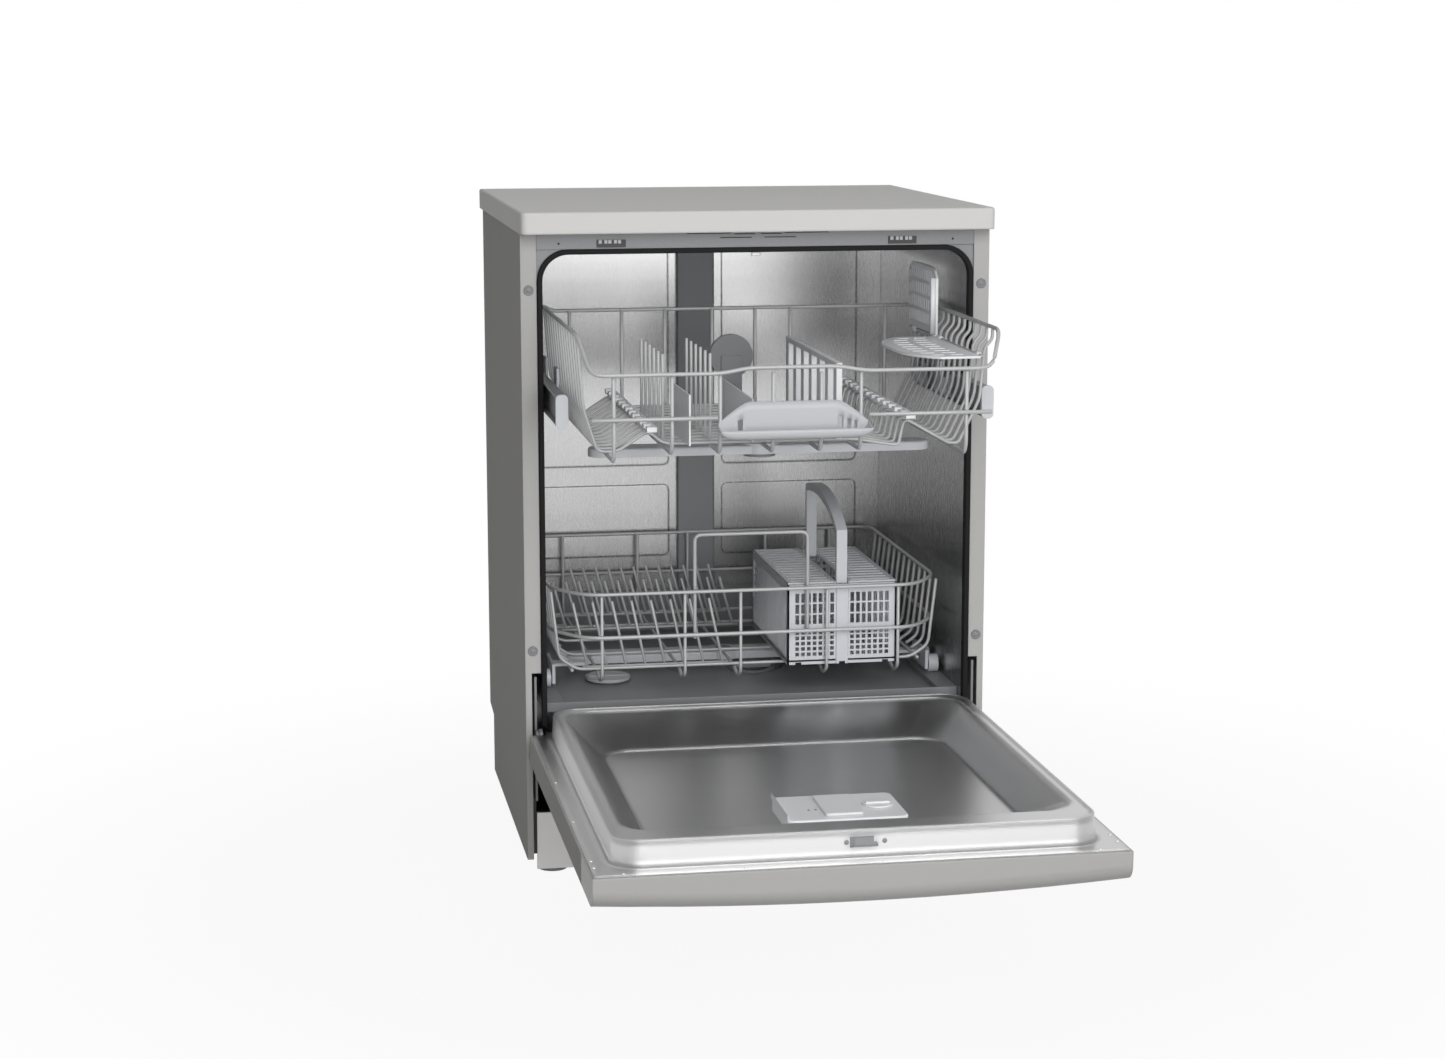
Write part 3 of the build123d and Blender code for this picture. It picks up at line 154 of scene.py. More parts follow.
# %% One object from its parts
def piece(name, parts, body, material, smooth=True, thickness=0.0):
    """One object from a list of (points, faces), riding on a CAD body; a thickness makes sheets solid."""
    starts = np.cumsum([0] + [len(p) for p, _ in parts[:-1]])
    points = np.concatenate([p for p, _ in parts])
    faces = np.concatenate([f + s for (_, f), s in zip(parts, starts)])
    mesh = bpy.data.meshes.new(name)
    mesh.vertices.add(len(points))
    mesh.vertices.foreach_set("co", metres(points).ravel())
    mesh.loops.add(faces.size)
    mesh.loops.foreach_set("vertex_index", faces.ravel())
    mesh.polygons.add(len(faces))
    mesh.polygons.foreach_set("loop_start", np.arange(len(faces)) * 4)
    mesh.polygons.foreach_set("use_smooth", np.full(len(faces), smooth))
    mesh.update(calc_edges=True)
    made = bpy.data.objects.new(name, mesh)
    bpy.context.scene.collection.objects.link(made)
    mesh.materials.append(material)
    if thickness:
        solid = made.modifiers.new("thickness", "SOLIDIFY")
        solid.thickness, solid.offset, solid.use_even_offset = thickness / 1000, -1.0, True
    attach(made, body)
    print(f"{name}: {len(points)} points, {2 * len(faces)} triangles, rides on {body}")
    return made


# %% [markdown]
# ## Finishes
# A dishwasher is mostly silver paint, brushed steel and moulded plastic. Each finish could have its own
# set of nodes, but all of them share one effect: a fine grain that shifts the colour and roughness a
# little and lifts the surface by a hair, stretched into brush lines on steel. So the grain is one group
# with its own values in each material. The edges of real sheet and mouldings are never sharp, so the
# group also rounds the shading there.

# %% The shared grain group
grain = bpy.data.node_groups.new("fine_grain", "ShaderNodeTree")
for socket, kind, start in (("Colour", "NodeSocketColor", None), ("Stretch", "NodeSocketVector", None),
                            ("Fineness", "NodeSocketFloat", 300.0), ("Tint", "NodeSocketFloat", 0.1),
                            ("Roughness", "NodeSocketFloat", 0.4), ("Spread", "NodeSocketFloat", 0.1),
                            ("Depth", "NodeSocketFloat", 0.00002), ("Edge", "NodeSocketFloat", 0.001)):
    made = grain.interface.new_socket(socket, in_out="INPUT", socket_type=kind)
    if start is not None:
        made.default_value = start
for socket, kind in (("Colour", "NodeSocketColor"), ("Roughness", "NodeSocketFloat"),
                     ("Normal", "NodeSocketVector")):
    grain.interface.new_socket(socket, in_out="OUTPUT", socket_type=kind)


def node(tree, kind, **settings):
    """A shader node with its properties and input values set by name."""
    made = tree.nodes.new(kind)
    for key, value in settings.items():
        if hasattr(made, key):
            setattr(made, key, value)
        else:
            made.inputs[key.replace("_", " ")].default_value = value
    return made


def math_node(tree, operation, a, b):
    """One sum of two numbers or sockets."""
    made = node(tree, "ShaderNodeMath", operation=operation)
    for socket, value in zip(made.inputs, (a, b)):
        if isinstance(value, (int, float)):
            socket.default_value = value
        else:
            tree.links.new(value, socket)
    return made.outputs[0]


def build_grain(tree):
    """Noise on stretched object coordinates, centred on zero: it scales the colour, shifts the roughness
    and makes a tiny bump."""
    given = tree.nodes.new("NodeGroupInput").outputs
    out = tree.nodes.new("NodeGroupOutput").inputs
    place = node(tree, "ShaderNodeTexCoord")
    stretched = node(tree, "ShaderNodeVectorMath", operation="MULTIPLY")
    tree.links.new(place.outputs["Object"], stretched.inputs[0])
    tree.links.new(given["Stretch"], stretched.inputs[1])
    noise = node(tree, "ShaderNodeTexNoise", Detail=3.0)
    tree.links.new(stretched.outputs[0], noise.inputs["Vector"])
    tree.links.new(given["Fineness"], noise.inputs["Scale"])
    centred = math_node(tree, "SUBTRACT", noise.outputs[0], 0.5)
    gain = math_node(tree, "ADD", math_node(tree, "MULTIPLY", centred, given["Tint"]), 1.0)
    shade = node(tree, "ShaderNodeVectorMath", operation="SCALE")
    tree.links.new(given["Colour"], shade.inputs[0])
    tree.links.new(gain, shade.inputs["Scale"])
    tree.links.new(shade.outputs[0], out["Colour"])
    spread = math_node(tree, "MULTIPLY", centred, given["Spread"])
    tree.links.new(math_node(tree, "ADD", given["Roughness"], spread), out["Roughness"])
    edge = node(tree, "ShaderNodeBevel", samples=4)
    tree.links.new(given["Edge"], edge.inputs["Radius"])
    bump = node(tree, "ShaderNodeBump", Strength=1.0)
    tree.links.new(given["Depth"], bump.inputs["Distance"])
    tree.links.new(noise.outputs[0], bump.inputs["Height"])
    tree.links.new(edge.outputs[0], bump.inputs["Normal"])
    tree.links.new(bump.outputs[0], out["Normal"])


build_grain(grain)
print("fine_grain:", len(grain.nodes), "nodes")


# %% The finishes themselves
def finish(name, colour, roughness, metal=0.0, stretch=(1, 1, 1), fineness=300.0, tint=0.1, spread=0.1,
           depth=0.00002, edge=0.001, specular=0.5):
    """A Principled surface fed by the grain group."""
    made = bpy.data.materials.new(name)
    made.use_nodes = True
    tree = made.node_tree
    shader = tree.nodes["Principled BSDF"]
    shader.inputs["Metallic"].default_value = metal
    shader.inputs["Specular IOR Level"].default_value = specular
    group = node(tree, "ShaderNodeGroup", node_tree=grain)
    for key, value in (("Colour", (*colour, 1)), ("Stretch", stretch), ("Fineness", fineness),
                       ("Tint", tint), ("Roughness", roughness), ("Spread", spread), ("Depth", depth),
                       ("Edge", edge)):
        group.inputs[key].default_value = value
    tree.links.new(group.outputs["Colour"], shader.inputs["Base Color"])
    tree.links.new(group.outputs["Roughness"], shader.inputs["Roughness"])
    tree.links.new(group.outputs["Normal"], shader.inputs["Normal"])
    return made


finishes = {
    "silver_worktop": finish("silver_board", (0.65, 0.644, 0.628), 0.5, fineness=900, tint=0.12, edge=0.004,
                             specular=0.1),
    "silver_sheet": finish("silver_paint", (0.46, 0.456, 0.446), 0.6, fineness=1400, tint=0.12, edge=0.0015,
                           specular=0.04),
    "silver_plastic": finish("silver_moulding", (0.39, 0.386, 0.376), 0.4, metal=0.08, fineness=1400,
                             edge=0.003, specular=0.25),
    # This steel is a darker copy of the door liner's steel: its lower colour is painted shade in the tub.
    "stainless": finish("brushed_steel_painted_darker", (0.35, 0.35, 0.35), 0.27, metal=1.0, stretch=(30, 30, 1),
                        fineness=90, tint=0.04, spread=0.04, depth=0.000002, edge=0.003),
    "plated_steel": finish("plated_steel", (0.22, 0.223, 0.23), 0.42, metal=0.15, fineness=200, tint=0.16,
                           edge=0.0008, specular=0.3),
    "coated_wire": finish("coated_wire", (0.46, 0.464, 0.468), 0.36, metal=0.1, fineness=500, tint=0.12,
                          edge=0.0005),
    "grey_plastic": finish("pale_grey_moulding", (0.56, 0.575, 0.605), 0.42, fineness=700, tint=0.06,
                           edge=0.0008),
    "white_plastic": finish("white_moulding", (0.49, 0.5, 0.52), 0.36, fineness=700, tint=0.04, edge=0.0015),
    "mid_grey_plastic": finish("mid_grey_moulding", (0.22, 0.224, 0.234), 0.45, fineness=700, tint=0.08,
                               edge=0.0015),
    "black_plastic": finish("black_moulding", (0.02, 0.02, 0.02), 0.5, fineness=600, tint=0.2, edge=0.0008),
    "black_rubber": finish("black_rubber", (0.012, 0.012, 0.013), 0.6, fineness=500, tint=0.3, edge=0.002,
                           specular=0.1),
}
print("finishes:", sorted(finishes))

# %% Finishes of single nodes
# A lighter copy of the brushed steel: the higher colour is painted light on the open door's liner.
door_steel_painted_lighter = finish("door_steel_painted_lighter", (0.54, 0.54, 0.54), 0.3, metal=1.0, stretch=(1, 30, 30), fineness=60,
                    tint=0.07, spread=0.06, depth=0.000004, edge=0.01)
# Pale moulding: the dispenser's own whiter plastic, and painted light on shelves and inserts in shade.
pale_moulding_and_painted_light = finish("pale_moulding_and_painted_light", (0.86, 0.87, 0.89), 0.36, fineness=700, tint=0.04, edge=0.0012)
# The plinth's silver paint made lighter: painted light on a part in the shade of the open door.
plinth_paint_painted_lighter = finish("plinth_paint_painted_lighter", (0.54, 0.535, 0.52), 0.35, metal=0.55, fineness=1400, tint=0.12)
galvanised = finish("galvanised_steel", (0.45, 0.455, 0.46), 0.5, metal=0.35, fineness=60, tint=0.2,
                    spread=0.15)
special = {"door_liner": door_steel_painted_lighter, "plinth": plinth_paint_painted_lighter, "rear_panel": galvanised}
# Own whiter plastic on the dispenser; painted light on the rack inserts, whose faces turn from the lamps.
for name in ("dispenser_body", "dispenser_lid", "rinse_aid_cap", "rack_inserts"):
    special[name] = pale_moulding_and_painted_light
for name in ("upper_feed_pipe", "foot_front_left", "foot_front_right", "foot_rear"):
    special[name] = finishes["mid_grey_plastic"]
for part in frame["record"]["subparts"]:
    mesh = frame["nodes"][part["node"]].data
    mesh.materials.clear()
    mesh.materials.append(special.get(part["node"], finishes[part["material_slot"]]))
print("nodes with a finish of their own:", sorted(special))

# %% [markdown]
# ## Bent wire
# Each rack is made of steel wire that is bent cold, so every corner is a small arc, and then welded and
# coated. Blender's curves with a round bevel could make it too. Here a wire is its route with each
# corner replaced by a curve, and a circle carried along that route, because every wire then has closed
# ends and a known number of faces.

# %% Wire along a route
TIP_LENGTH, TIP_WIDTH = 0.35, 0.72


def softened(route, bend, closed=False, steps=5):
    """Each inner corner becomes a quadratic curve that starts and ends one bend length from the corner."""
    corner = np.asarray(route, float)
    before, after = np.roll(corner, 1, 0), np.roll(corner, -1, 0)
    into, out_of = corner - before, after - corner
    a, b = np.linalg.norm(into, axis=1), np.linalg.norm(out_of, axis=1)
    reach = np.minimum(bend, 0.45 * np.minimum(a, b))[:, None]
    start, end = corner - into / a[:, None] * reach, corner + out_of / b[:, None] * reach
    t = np.linspace(0, 1, steps)[None, :, None]
    curve = (1 - t) ** 2 * start[:, None] + 2 * t * (1 - t) * corner[:, None] + t ** 2 * end[:, None]
    if closed:
        path = curve.reshape(-1, 3)
        return np.concatenate([path, path[:1]])
    return np.concatenate([corner[:1], curve[1:-1].reshape(-1, 3), corner[-1:]])


def wire(route, radius, bend=9.0, sides=8, closed=False):
    """A circle of that radius carried along the softened route, with a short taper on each free end."""
    path = softened(route, bend, closed)
    way = np.gradient(path, axis=0)
    if closed:
        way[0] = way[-1] = path[1] - path[-2]
    way /= np.linalg.norm(way, axis=1)[:, None]
    across = np.cross(way, ANY_SLANT)
    across /= np.linalg.norm(across, axis=1)[:, None]
    other = np.cross(way, across)
    size = np.full(len(path), radius)
    if not closed:
        tip = radius * TIP_LENGTH
        path = np.concatenate([path[:1], path[:1] + way[:1] * tip, path[1:-1], path[-1:] - way[-1:] * tip,
                               path[-1:]])
        pick = np.concatenate([[0], np.arange(len(size)), [len(size) - 1]])
        across, other = across[pick], other[pick]
        size = np.concatenate([[TIP_WIDTH * radius], size, [TIP_WIDTH * radius]])
    turn = np.linspace(0, 2 * math.pi, sides, endpoint=False)
    ring = np.cos(turn)[None, :, None] * across[:, None] + np.sin(turn)[None, :, None] * other[:, None]
    points = (path[:, None] + size[:, None, None] * ring).reshape(-1, 3)
    faces = cells(len(path), sides) if closed else tube_faces(len(path), sides)
    return points, faces


print("a wire with one bend:", len(wire([(0, 0, 0), (0, 0, 40), (30, 0, 40)], 2.0)[0]), "points")

# %% [markdown]
# ## Upper rack
# The rack hangs drawn out on its rails. Fourteen cross wires make the left wall, three gutters, two
# ridges and the stepped right wall. Seven lengthways wires carry them, and a heavier wire makes the top
# frame. Each cross wire could be drawn by itself, but they are all alike, so one bent section is
# repeated along the rack.

# %% Upper rack wires
FLOOR, GUTTER = 582.0, 574.0
FRONT, REAR = -232.0, 208.0
THIN, THICK = 2.0, 2.5
SIDE_RAIL, BACK_RAIL, FRONT_RAIL, LOW_RAIL = 714.5, 707.0, 672.5, 620.0
CROSS_PITCH, CROSS_COUNT = 26.4, 14
HINGE_X, HINGE_Z = 243.33, 680.0
TINE_TOP = 688.0
section = np.array([(-250, 712), (-243, 628), (-226, GUTTER), (-202, GUTTER), (-165, 598), (-146, FLOOR),
                    (89, FLOOR), (134, GUTTER), (142, GUTTER), (149, 606), (205, GUTTER), (217, GUTTER),
                    (243, 628), (248.2, 690), (258, 700), (258, 712)])
cross_ys = FRONT + 64 + CROSS_PITCH * np.arange(CROSS_COUNT)
upper = []
for y in cross_ys:
    upper.append(wire(np.column_stack([section[:, 0], np.full(len(section), y), section[:, 1]]), THIN))
for x, z in ((-214, GUTTER), (-145, FLOOR), (-87.5, FLOOR), (-24, FLOOR), (34, FLOOR), (82, FLOOR),
             (211, GUTTER)):
    low = z - THIN - THICK
    back, front = REAR - 2 * THICK, FRONT + 2 * THICK
    upper.append(wire([(x, back, BACK_RAIL), (x, back, low), (x, front + 7, low), (x, front, low + 14),
                       (x, front, FRONT_RAIL - 1)], THICK, bend=14))
top_frame = [(55, FRONT, FRONT_RAIL + 6), (85, FRONT, FRONT_RAIL), (241, FRONT, FRONT_RAIL),
             (258, FRONT + 32, SIDE_RAIL), (258, REAR, SIDE_RAIL), (244, REAR, BACK_RAIL),
             (-236, REAR, BACK_RAIL), (-250, REAR, SIDE_RAIL), (-250, FRONT + 60, SIDE_RAIL),
             (-241, FRONT, FRONT_RAIL), (-85, FRONT, FRONT_RAIL), (-55, FRONT, FRONT_RAIL + 6)]
upper.append(wire(top_frame, THICK, bend=16, closed=True))
for side in (-1, 1):
    upper.append(wire([(side * 91, FRONT, LOW_RAIL), (side * 241, FRONT, LOW_RAIL)], THICK))
upper.append(wire([(HINGE_X, cross_ys[0] - 8, HINGE_Z), (HINGE_X, cross_ys[-1] + 8, HINGE_Z)], THIN))
tine_ys = cross_ys[0] + CROSS_PITCH * (0.5 + 4 / 3 * np.arange(6))
upper += [wire([(x, y, FLOOR - THIN), (x, y, TINE_TOP)], THIN) for x in (-145, -87.5) for y in tine_ys]
rack = piece("upper_rack_wires", upper, "upper_rack", finishes["coated_wire"])
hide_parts("upper_rack")

# %% [markdown]
# ## Lower rack
# The side wires stand close together and every third one runs across the floor. The lengthways wires dip
# at the front before they rise to the top ring. Three rows of tines lean to the left, and a tall loop is
# the handle. The two racks could share one pattern, but their walls differ. So this one has its own
# routes and uses the same wire function.

# %% Lower rack wires
NEAR, FAR = 38.0, 478.0
MID = 2.2
TOP_RING, SECOND_RING = 358.5, 302.0
HALF, SHOULDER, EDGE, FOOT = 256.0, 246.0, 230.0, 222.0
WALL_TOP, SHOULDER_Z, FOOT_Z = 356.0, 268.0, 252.0
SIDE_COUNT, SIDE_RUN = 13, 352.0
BESIDE = THICK + MID
TINE_BAR, TINE_LEAN = 251.8, 18.0
LOOP_HALF, LOOP_LOW, LOOP_TOP = 74.0, 296.0, 432.0
side_ys = NEAR + 46 + SIDE_RUN / (SIDE_COUNT - 1) * np.arange(SIDE_COUNT)
wall = np.array([(-HALF, WALL_TOP), (-SHOULDER, SHOULDER_Z), (-FOOT, FOOT_Z)])
across = np.concatenate([wall, wall[::-1] * (-1, 1)])
edge_z = FOOT_Z + (EDGE - FOOT) * (SHOULDER_Z - FOOT_Z) / (SHOULDER - FOOT)
lower = [wire(np.column_stack([across[:, 0], np.full(6, y), across[:, 1]]), MID) for y in side_ys[::3]]
for i, y in enumerate(side_ys):
    if i % 3:
        lower += [wire([(s * HALF, y, WALL_TOP), (s * SHOULDER, y, SHOULDER_Z), (s * EDGE, y, edge_z)], MID)
                  for s in (-1, 1)]
under_edge = edge_z - 5.06
for s in (-1, 1):
    lower.append(wire([(s * EDGE, side_ys[0] - 8, under_edge), (s * EDGE, side_ys[-1] + 8, under_edge)],
                      MID))
for half, z in ((HALF, TOP_RING), (254.66, SECOND_RING)):
    lower.append(wire([(-half, FAR, z), (-half, NEAR + 60, z), (40 - half, NEAR, z), (half - 40, NEAR, z),
                       (half, NEAR + 60, z), (half, FAR, z)], THICK, bend=26, closed=True))
long_z = FOOT_Z - 2 * MID
for x in (-195, -87, -14, 100, 195):
    lower.append(wire([(x, FAR - BESIDE, TOP_RING), (x, FAR - BESIDE, long_z), (x, NEAR + 51, long_z),
                       (x, NEAR + 31, long_z - 9), (x, NEAR + BESIDE, long_z + 2),
                       (x, NEAR + BESIDE, TOP_RING)], MID))
tine_rows = ((97, -208, 8, 25.6, 84), (331, -208, 14, 18, 66), (427, -172, 12, 18, 66))
for y, first, count, pitch, height in tine_rows:
    xs = first + pitch * np.arange(count)
    lower.append(wire([(-214, y, TINE_BAR), (xs[-1] + 8, y, TINE_BAR)], THIN))
    root = TINE_BAR + THIN
    lower += [wire([(x, y, root), (x - TINE_LEAN, y, root + height)], THIN) for x in xs]
loop_y = NEAR + 5
lower.append(wire([(-LOOP_HALF, loop_y, LOOP_LOW), (-LOOP_HALF, loop_y, LOOP_TOP),
                   (LOOP_HALF, loop_y, LOOP_TOP), (LOOP_HALF, loop_y, LOOP_LOW)], THICK))
rack = piece("lower_rack_wires", lower, "lower_rack", finishes["coated_wire"])
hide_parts("lower_rack")

# %% [markdown]
# ## Handle tray
# The white tray on the front of the upper rack is one moulding: a low lip, a floor, a tall back wall and
# two ends that curve up. It could be a box with bevelled edges, but its ends rise smoothly. So its
# section is carried from end to end, and towards the ends it is lifted to the rim, like a boat's hull.
# Solidify gives it its wall.

# %% Handle tray
TRAY_HALF, TRAY_FLOOR, TRAY_LIP, TRAY_BACK = 90.0, 597.0, 607.0, 638.0
TRAY_FRONT, TRAY_REAR = -252.5, -229.6
TRAY_STRAIGHT, TRAY_FALL = 0.6, 0.8
TRAY_WALL = 2.2
tray_y = np.array([TRAY_FRONT] * 3 + [-251, -247, -241, -235, -231] + [TRAY_REAR] * 5)
tray_z = np.array([TRAY_LIP, 604, 601.5, 598.5] + [TRAY_FLOOR] * 3
                  + [598.5, 602, 605, 619, 628, TRAY_BACK])


def tray_shape(u, v):
    """Section point v, at share u of the half length; towards the ends the rim falls and the floor rises."""
    y, z = tray_y[v.astype(int)], tray_z[v.astype(int)]
    share = (y - TRAY_FRONT) / (TRAY_REAR - TRAY_FRONT)
    fall = np.clip((np.abs(u) - TRAY_STRAIGHT) / (1 - TRAY_STRAIGHT), 0, 1)
    full = TRAY_LIP + (TRAY_BACK - TRAY_LIP) * share
    rim = TRAY_LIP + (TRAY_BACK - TRAY_LIP) * share * (1 - TRAY_FALL * fall ** 1.3)
    lower = TRAY_FLOOR + (z - TRAY_FLOOR) * (rim - TRAY_FLOOR) / (full - TRAY_FLOOR)
    return TRAY_HALF * u, y, rim - (rim - lower) * np.sqrt(1 - (0.999 * np.abs(u)) ** 12)


tray_slots = np.array([(-67, -61), (53.5, 60), (65, 69.5), (73.5, 77)]) / TRAY_HALF
tray_us = np.sin(np.linspace(-math.pi / 2, math.pi / 2, 41))
tray_sheet = lattice(tray_us, np.arange(len(tray_y)), tray_slots, (9, 10), tray_shape)
tray = piece("handle_tray", [tray_sheet], "upper_rack", finishes["white_plastic"],
             thickness=TRAY_WALL)
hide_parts("rack_handle")

# %% [markdown]
# ## Cup shelves
# Two slotted shelves share a hinge wire on the right wall of the upper rack. The front one lies flat and
# its inner edge is curved; the rear one stands folded up. Each could be cut out of a plate, but slots on
# a grid need no cutting. So each is a sheet with open cells. Its two knuckles round the wire are a piece
# of their own, which on the raised shelf also has a border bar.

# %% Cup shelves
SHELF, SHELF_WALL = 86.0, 3.0
FLAT_MIDDLE, FLAT_HALF = -70.0, 115.0
RAISED_MIDDLE, RAISED_HALF = 122.0, 74.0
KNUCKLE_HALF, KNUCKLE_RADIUS = 8.0, 4.0


def knuckles(numbers):
    """Short sleeves round the hinge wire, each half a pitch behind the cross wire of that number."""
    middle = [cross_ys[i] + CROSS_PITCH / 2 for i in numbers]
    return [wire([(HINGE_X, y - KNUCKLE_HALF, HINGE_Z), (HINGE_X, y + KNUCKLE_HALF, HINGE_Z)],
                 KNUCKLE_RADIUS, sides=12) for y in middle]


def flat_shelf(u, v):
    """A flat sheet along y, its reach from the hinge shrinking towards both ends."""
    along = (u - FLAT_MIDDLE) / FLAT_HALF
    reach = v * (1 - 0.42 * np.abs(along) ** 3.5)
    return HINGE_X - KNUCKLE_RADIUS - reach, u, np.full_like(u, HINGE_Z + SHELF_WALL / 2)


def raised_shelf(u, v):
    """A standing sheet along y whose top edge is rounded at both ends."""
    along = (u - RAISED_MIDDLE) / RAISED_HALF
    height = v * (1 - 0.16 * np.abs(along) ** 8)
    return np.full_like(u, HINGE_X + SHELF_WALL / 2), u, HINGE_Z + 3 + height


flat_lines = np.linspace(FLAT_MIDDLE - FLAT_HALF, FLAT_MIDDLE + FLAT_HALF, 25)
flat = lattice(flat_lines, (0, SHELF), windows(-178, 38, 9, 15), windows(16, 74, 2, 8), flat_shelf)
# Painted light: the shelves take the pale moulding because their faces turn away from the lamps.
shelf = piece("flat_cup_shelf", [flat], "cup_shelf_front", pale_moulding_and_painted_light, smooth=False,
              thickness=SHELF_WALL)
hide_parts("cup_shelf_front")
piece("flat_shelf_knuckles", knuckles((0, 7)), "cup_shelf_front", pale_moulding_and_painted_light)
raised_lines = np.linspace(RAISED_MIDDLE - RAISED_HALF, RAISED_MIDDLE + RAISED_HALF, 17)
raised = lattice(raised_lines, (0, SHELF), windows(58, 192, 12, 4), windows(7, 82, 4, 4), raised_shelf)
# Painted light here too: the raised shelf's face turns left, away from the lamps.
shelf = piece("raised_cup_shelf", [raised], "cup_shelf_rear", pale_moulding_and_painted_light, smooth=False,
              thickness=SHELF_WALL)
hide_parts("cup_shelf_rear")
raised_front = RAISED_MIDDLE - RAISED_HALF
border = blocks([(HINGE_X - 8, HINGE_X - SHELF_WALL / 2, raised_front, raised_front + 4, HINGE_Z + 4,
                  HINGE_Z + 76)])
piece("raised_shelf_knuckles", knuckles((8, 12)) + [border], "cup_shelf_rear",
      pale_moulding_and_painted_light)

# %% [markdown]
# ## Cutlery basket
# The basket is a thin moulding. Its front and back are grids of seven columns either side of a spine,
# with tall windows above small ones, and its bottom edge is notched to sit on the rack's wires. Its
# sides are open frames crossed by curved ribs. Cutting the windows out of walls would be slow, so the
# walls are sheets with open cells that Solidify makes thick, and the ribs are thin wires.

# %% Cutlery basket walls
LEFT, RIGHT, BASKET_FRONT, BASKET_BACK, BASKET_LOW, BASKET_TOP = 49.0, 194.0, 48.5, 298.5, 254.5, 360.5
BASKET_WALL = 2.2
SPINE = (LEFT + RIGHT) / 2
SPINE_HALF, POST = 9.5, 9.0
COLUMN_COUNT, COLUMN_BAR = 7, 2.8
NOTCH_HEIGHT, NOTCH_HALF, NOTCH_APART = 3.0, 4.0, 58.0
columns = np.concatenate([windows(LEFT + POST, SPINE - SPINE_HALF, COLUMN_COUNT, COLUMN_BAR),
                          windows(SPINE + SPINE_HALF, RIGHT - POST, COLUMN_COUNT, COLUMN_BAR)])
rows = np.concatenate([windows(264.5, 300.5, 5, 2.3), windows(307, 350, 3, 2.2)])


def notched(u, v):
    """Open cells: three notches in the lowest edge, one at the spine and one either side of it."""
    off = np.abs(u - SPINE)
    return (v < BASKET_LOW + NOTCH_HEIGHT) & ((np.abs(off - NOTCH_APART) < NOTCH_HALF) | (off < NOTCH_HALF))


def grid_wall(y, side):
    """The front or back wall; the spine stands proud by a fold."""
    offsets = np.array([NOTCH_HALF, 7.5, 8.5, NOTCH_APART - NOTCH_HALF, NOTCH_APART + NOTCH_HALF])
    edges = np.concatenate([[LEFT, RIGHT], SPINE - offsets, SPINE + offsets])

    def shape(u, v):
        return SPINE + side * (u - SPINE), y - side * 1.5 * (np.abs(u - SPINE) < 8), v
    return lattice(edges, [BASKET_LOW, BASKET_LOW + NOTCH_HEIGHT, BASKET_TOP], columns, rows, shape, notched)


depth, width, heights = (BASKET_FRONT, BASKET_BACK), (LEFT, RIGHT), (BASKET_LOW, BASKET_TOP)
side_window = ((57, 290), (264.5, 351))
basket = [grid_wall(BASKET_FRONT, 1), grid_wall(BASKET_BACK, -1)]
basket.append(lattice(depth, heights, *side_window, lambda u, v: (np.full_like(u, LEFT), sum(depth) - u, v)))
basket.append(lattice(depth, heights, *side_window, lambda u, v: (np.full_like(u, RIGHT), u, v)))
basket.append(lattice(depth, width, windows(54, 294, 16, 4), windows(54, 190, 9, 4),
                      lambda u, v: (v, u, np.full_like(u, BASKET_LOW + 4))))
body = piece("basket_walls", basket, "lower_rack", finishes["grey_plastic"], smooth=False,
             thickness=BASKET_WALL)
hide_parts("cutlery_basket")

# %% Cutlery basket ribs
RIB_RADIUS, RIB_PITCH, RIB_FLOOR = 1.7, 11.0, 250.0
ribs = []
for radius in np.arange(26, 264, RIB_PITCH):
    low = max(math.asin(12 / radius), math.acos(min(1.0, 240 / radius)))
    high = math.asin(min(1.0, 102 / radius))
    turn = np.linspace(low, high, 9)
    arc = np.column_stack([BASKET_BACK - radius * np.cos(turn), RIB_FLOOR + radius * np.sin(turn)])
    arc = arc[(arc[:, 0] > BASKET_FRONT + 6) & (arc[:, 0] < BASKET_BACK - 4)]
    if high > low + 0.03 and len(arc) > 2:
        for x in (LEFT + 1, RIGHT - 1):
            ribs.append(wire(np.column_stack([np.full(len(arc), x), arc]), RIB_RADIUS, bend=4, sides=6))
piece("basket_ribs", ribs, "lower_rack", finishes["grey_plastic"])

# %% [markdown]
# ## Small trim
# The crossbar has pressed grooves and two black clips with pale teeth, and round plugs close the holes
# in the posts. A pressed groove could be cut into the CAD solid, but here a thin black line of painted
# shade stands for it, and black discs of painted shade stand for the two holes in the crossbar. The
# turned pieces are a profile of a few points, because a real plug or rivet is round.

# %% Crossbar and posts
CLIP_X, HOLE_X, PLUG_X = 185.0, 250.6, 288.5
FORWARD, UPWARD = (0, -1, 0), (0, 0, 1)
teeth = []
for side in (-1, 1):
    for x in (-16, -9, -4, 3, 8):
        teeth.append((side * CLIP_X + x, side * CLIP_X + x + 4, -2.7, -1.9, 809.5, 814))
piece("clip_teeth", [blocks(teeth)], "cabinet", finishes["white_plastic"], smooth=False)
# Painted shade: black lines for the pressed grooves and black discs for the holes in the crossbar.
painted_groove_shade = [wire([(side * near, -0.1, z), (side * far, -0.1, z)], 0.6, sides=6)
           for side in (-1, 1) for near, far, z in ((34, 90, 820.6), (4, 30, 819.4), (8, 48, 815.0))]
hole_shade_profile = [(0.2, 0), (1.4, 0), (1.4, 0.4), (0.2, 0.4)]
painted_hole_shade = [turned(hole_shade_profile, (side * HOLE_X, 0, 810), FORWARD, 12) for side in (-1, 1)]
piece("crossbar_painted_shade", painted_groove_shade + painted_hole_shade, "cabinet", finishes["black_plastic"])
plug = [(0.3, 0), (6.2, 0), (6.2, 1.4), (5.4, 2.0), (4.6, 1.9), (4.2, 0.9), (3.6, 0.9), (3.0, 1.7),
        (0.3, 2.0)]
rings = [turned(plug, (side * PLUG_X, 0, z), FORWARD, 24) for side in (-1, 1) for z in (297, 753)]

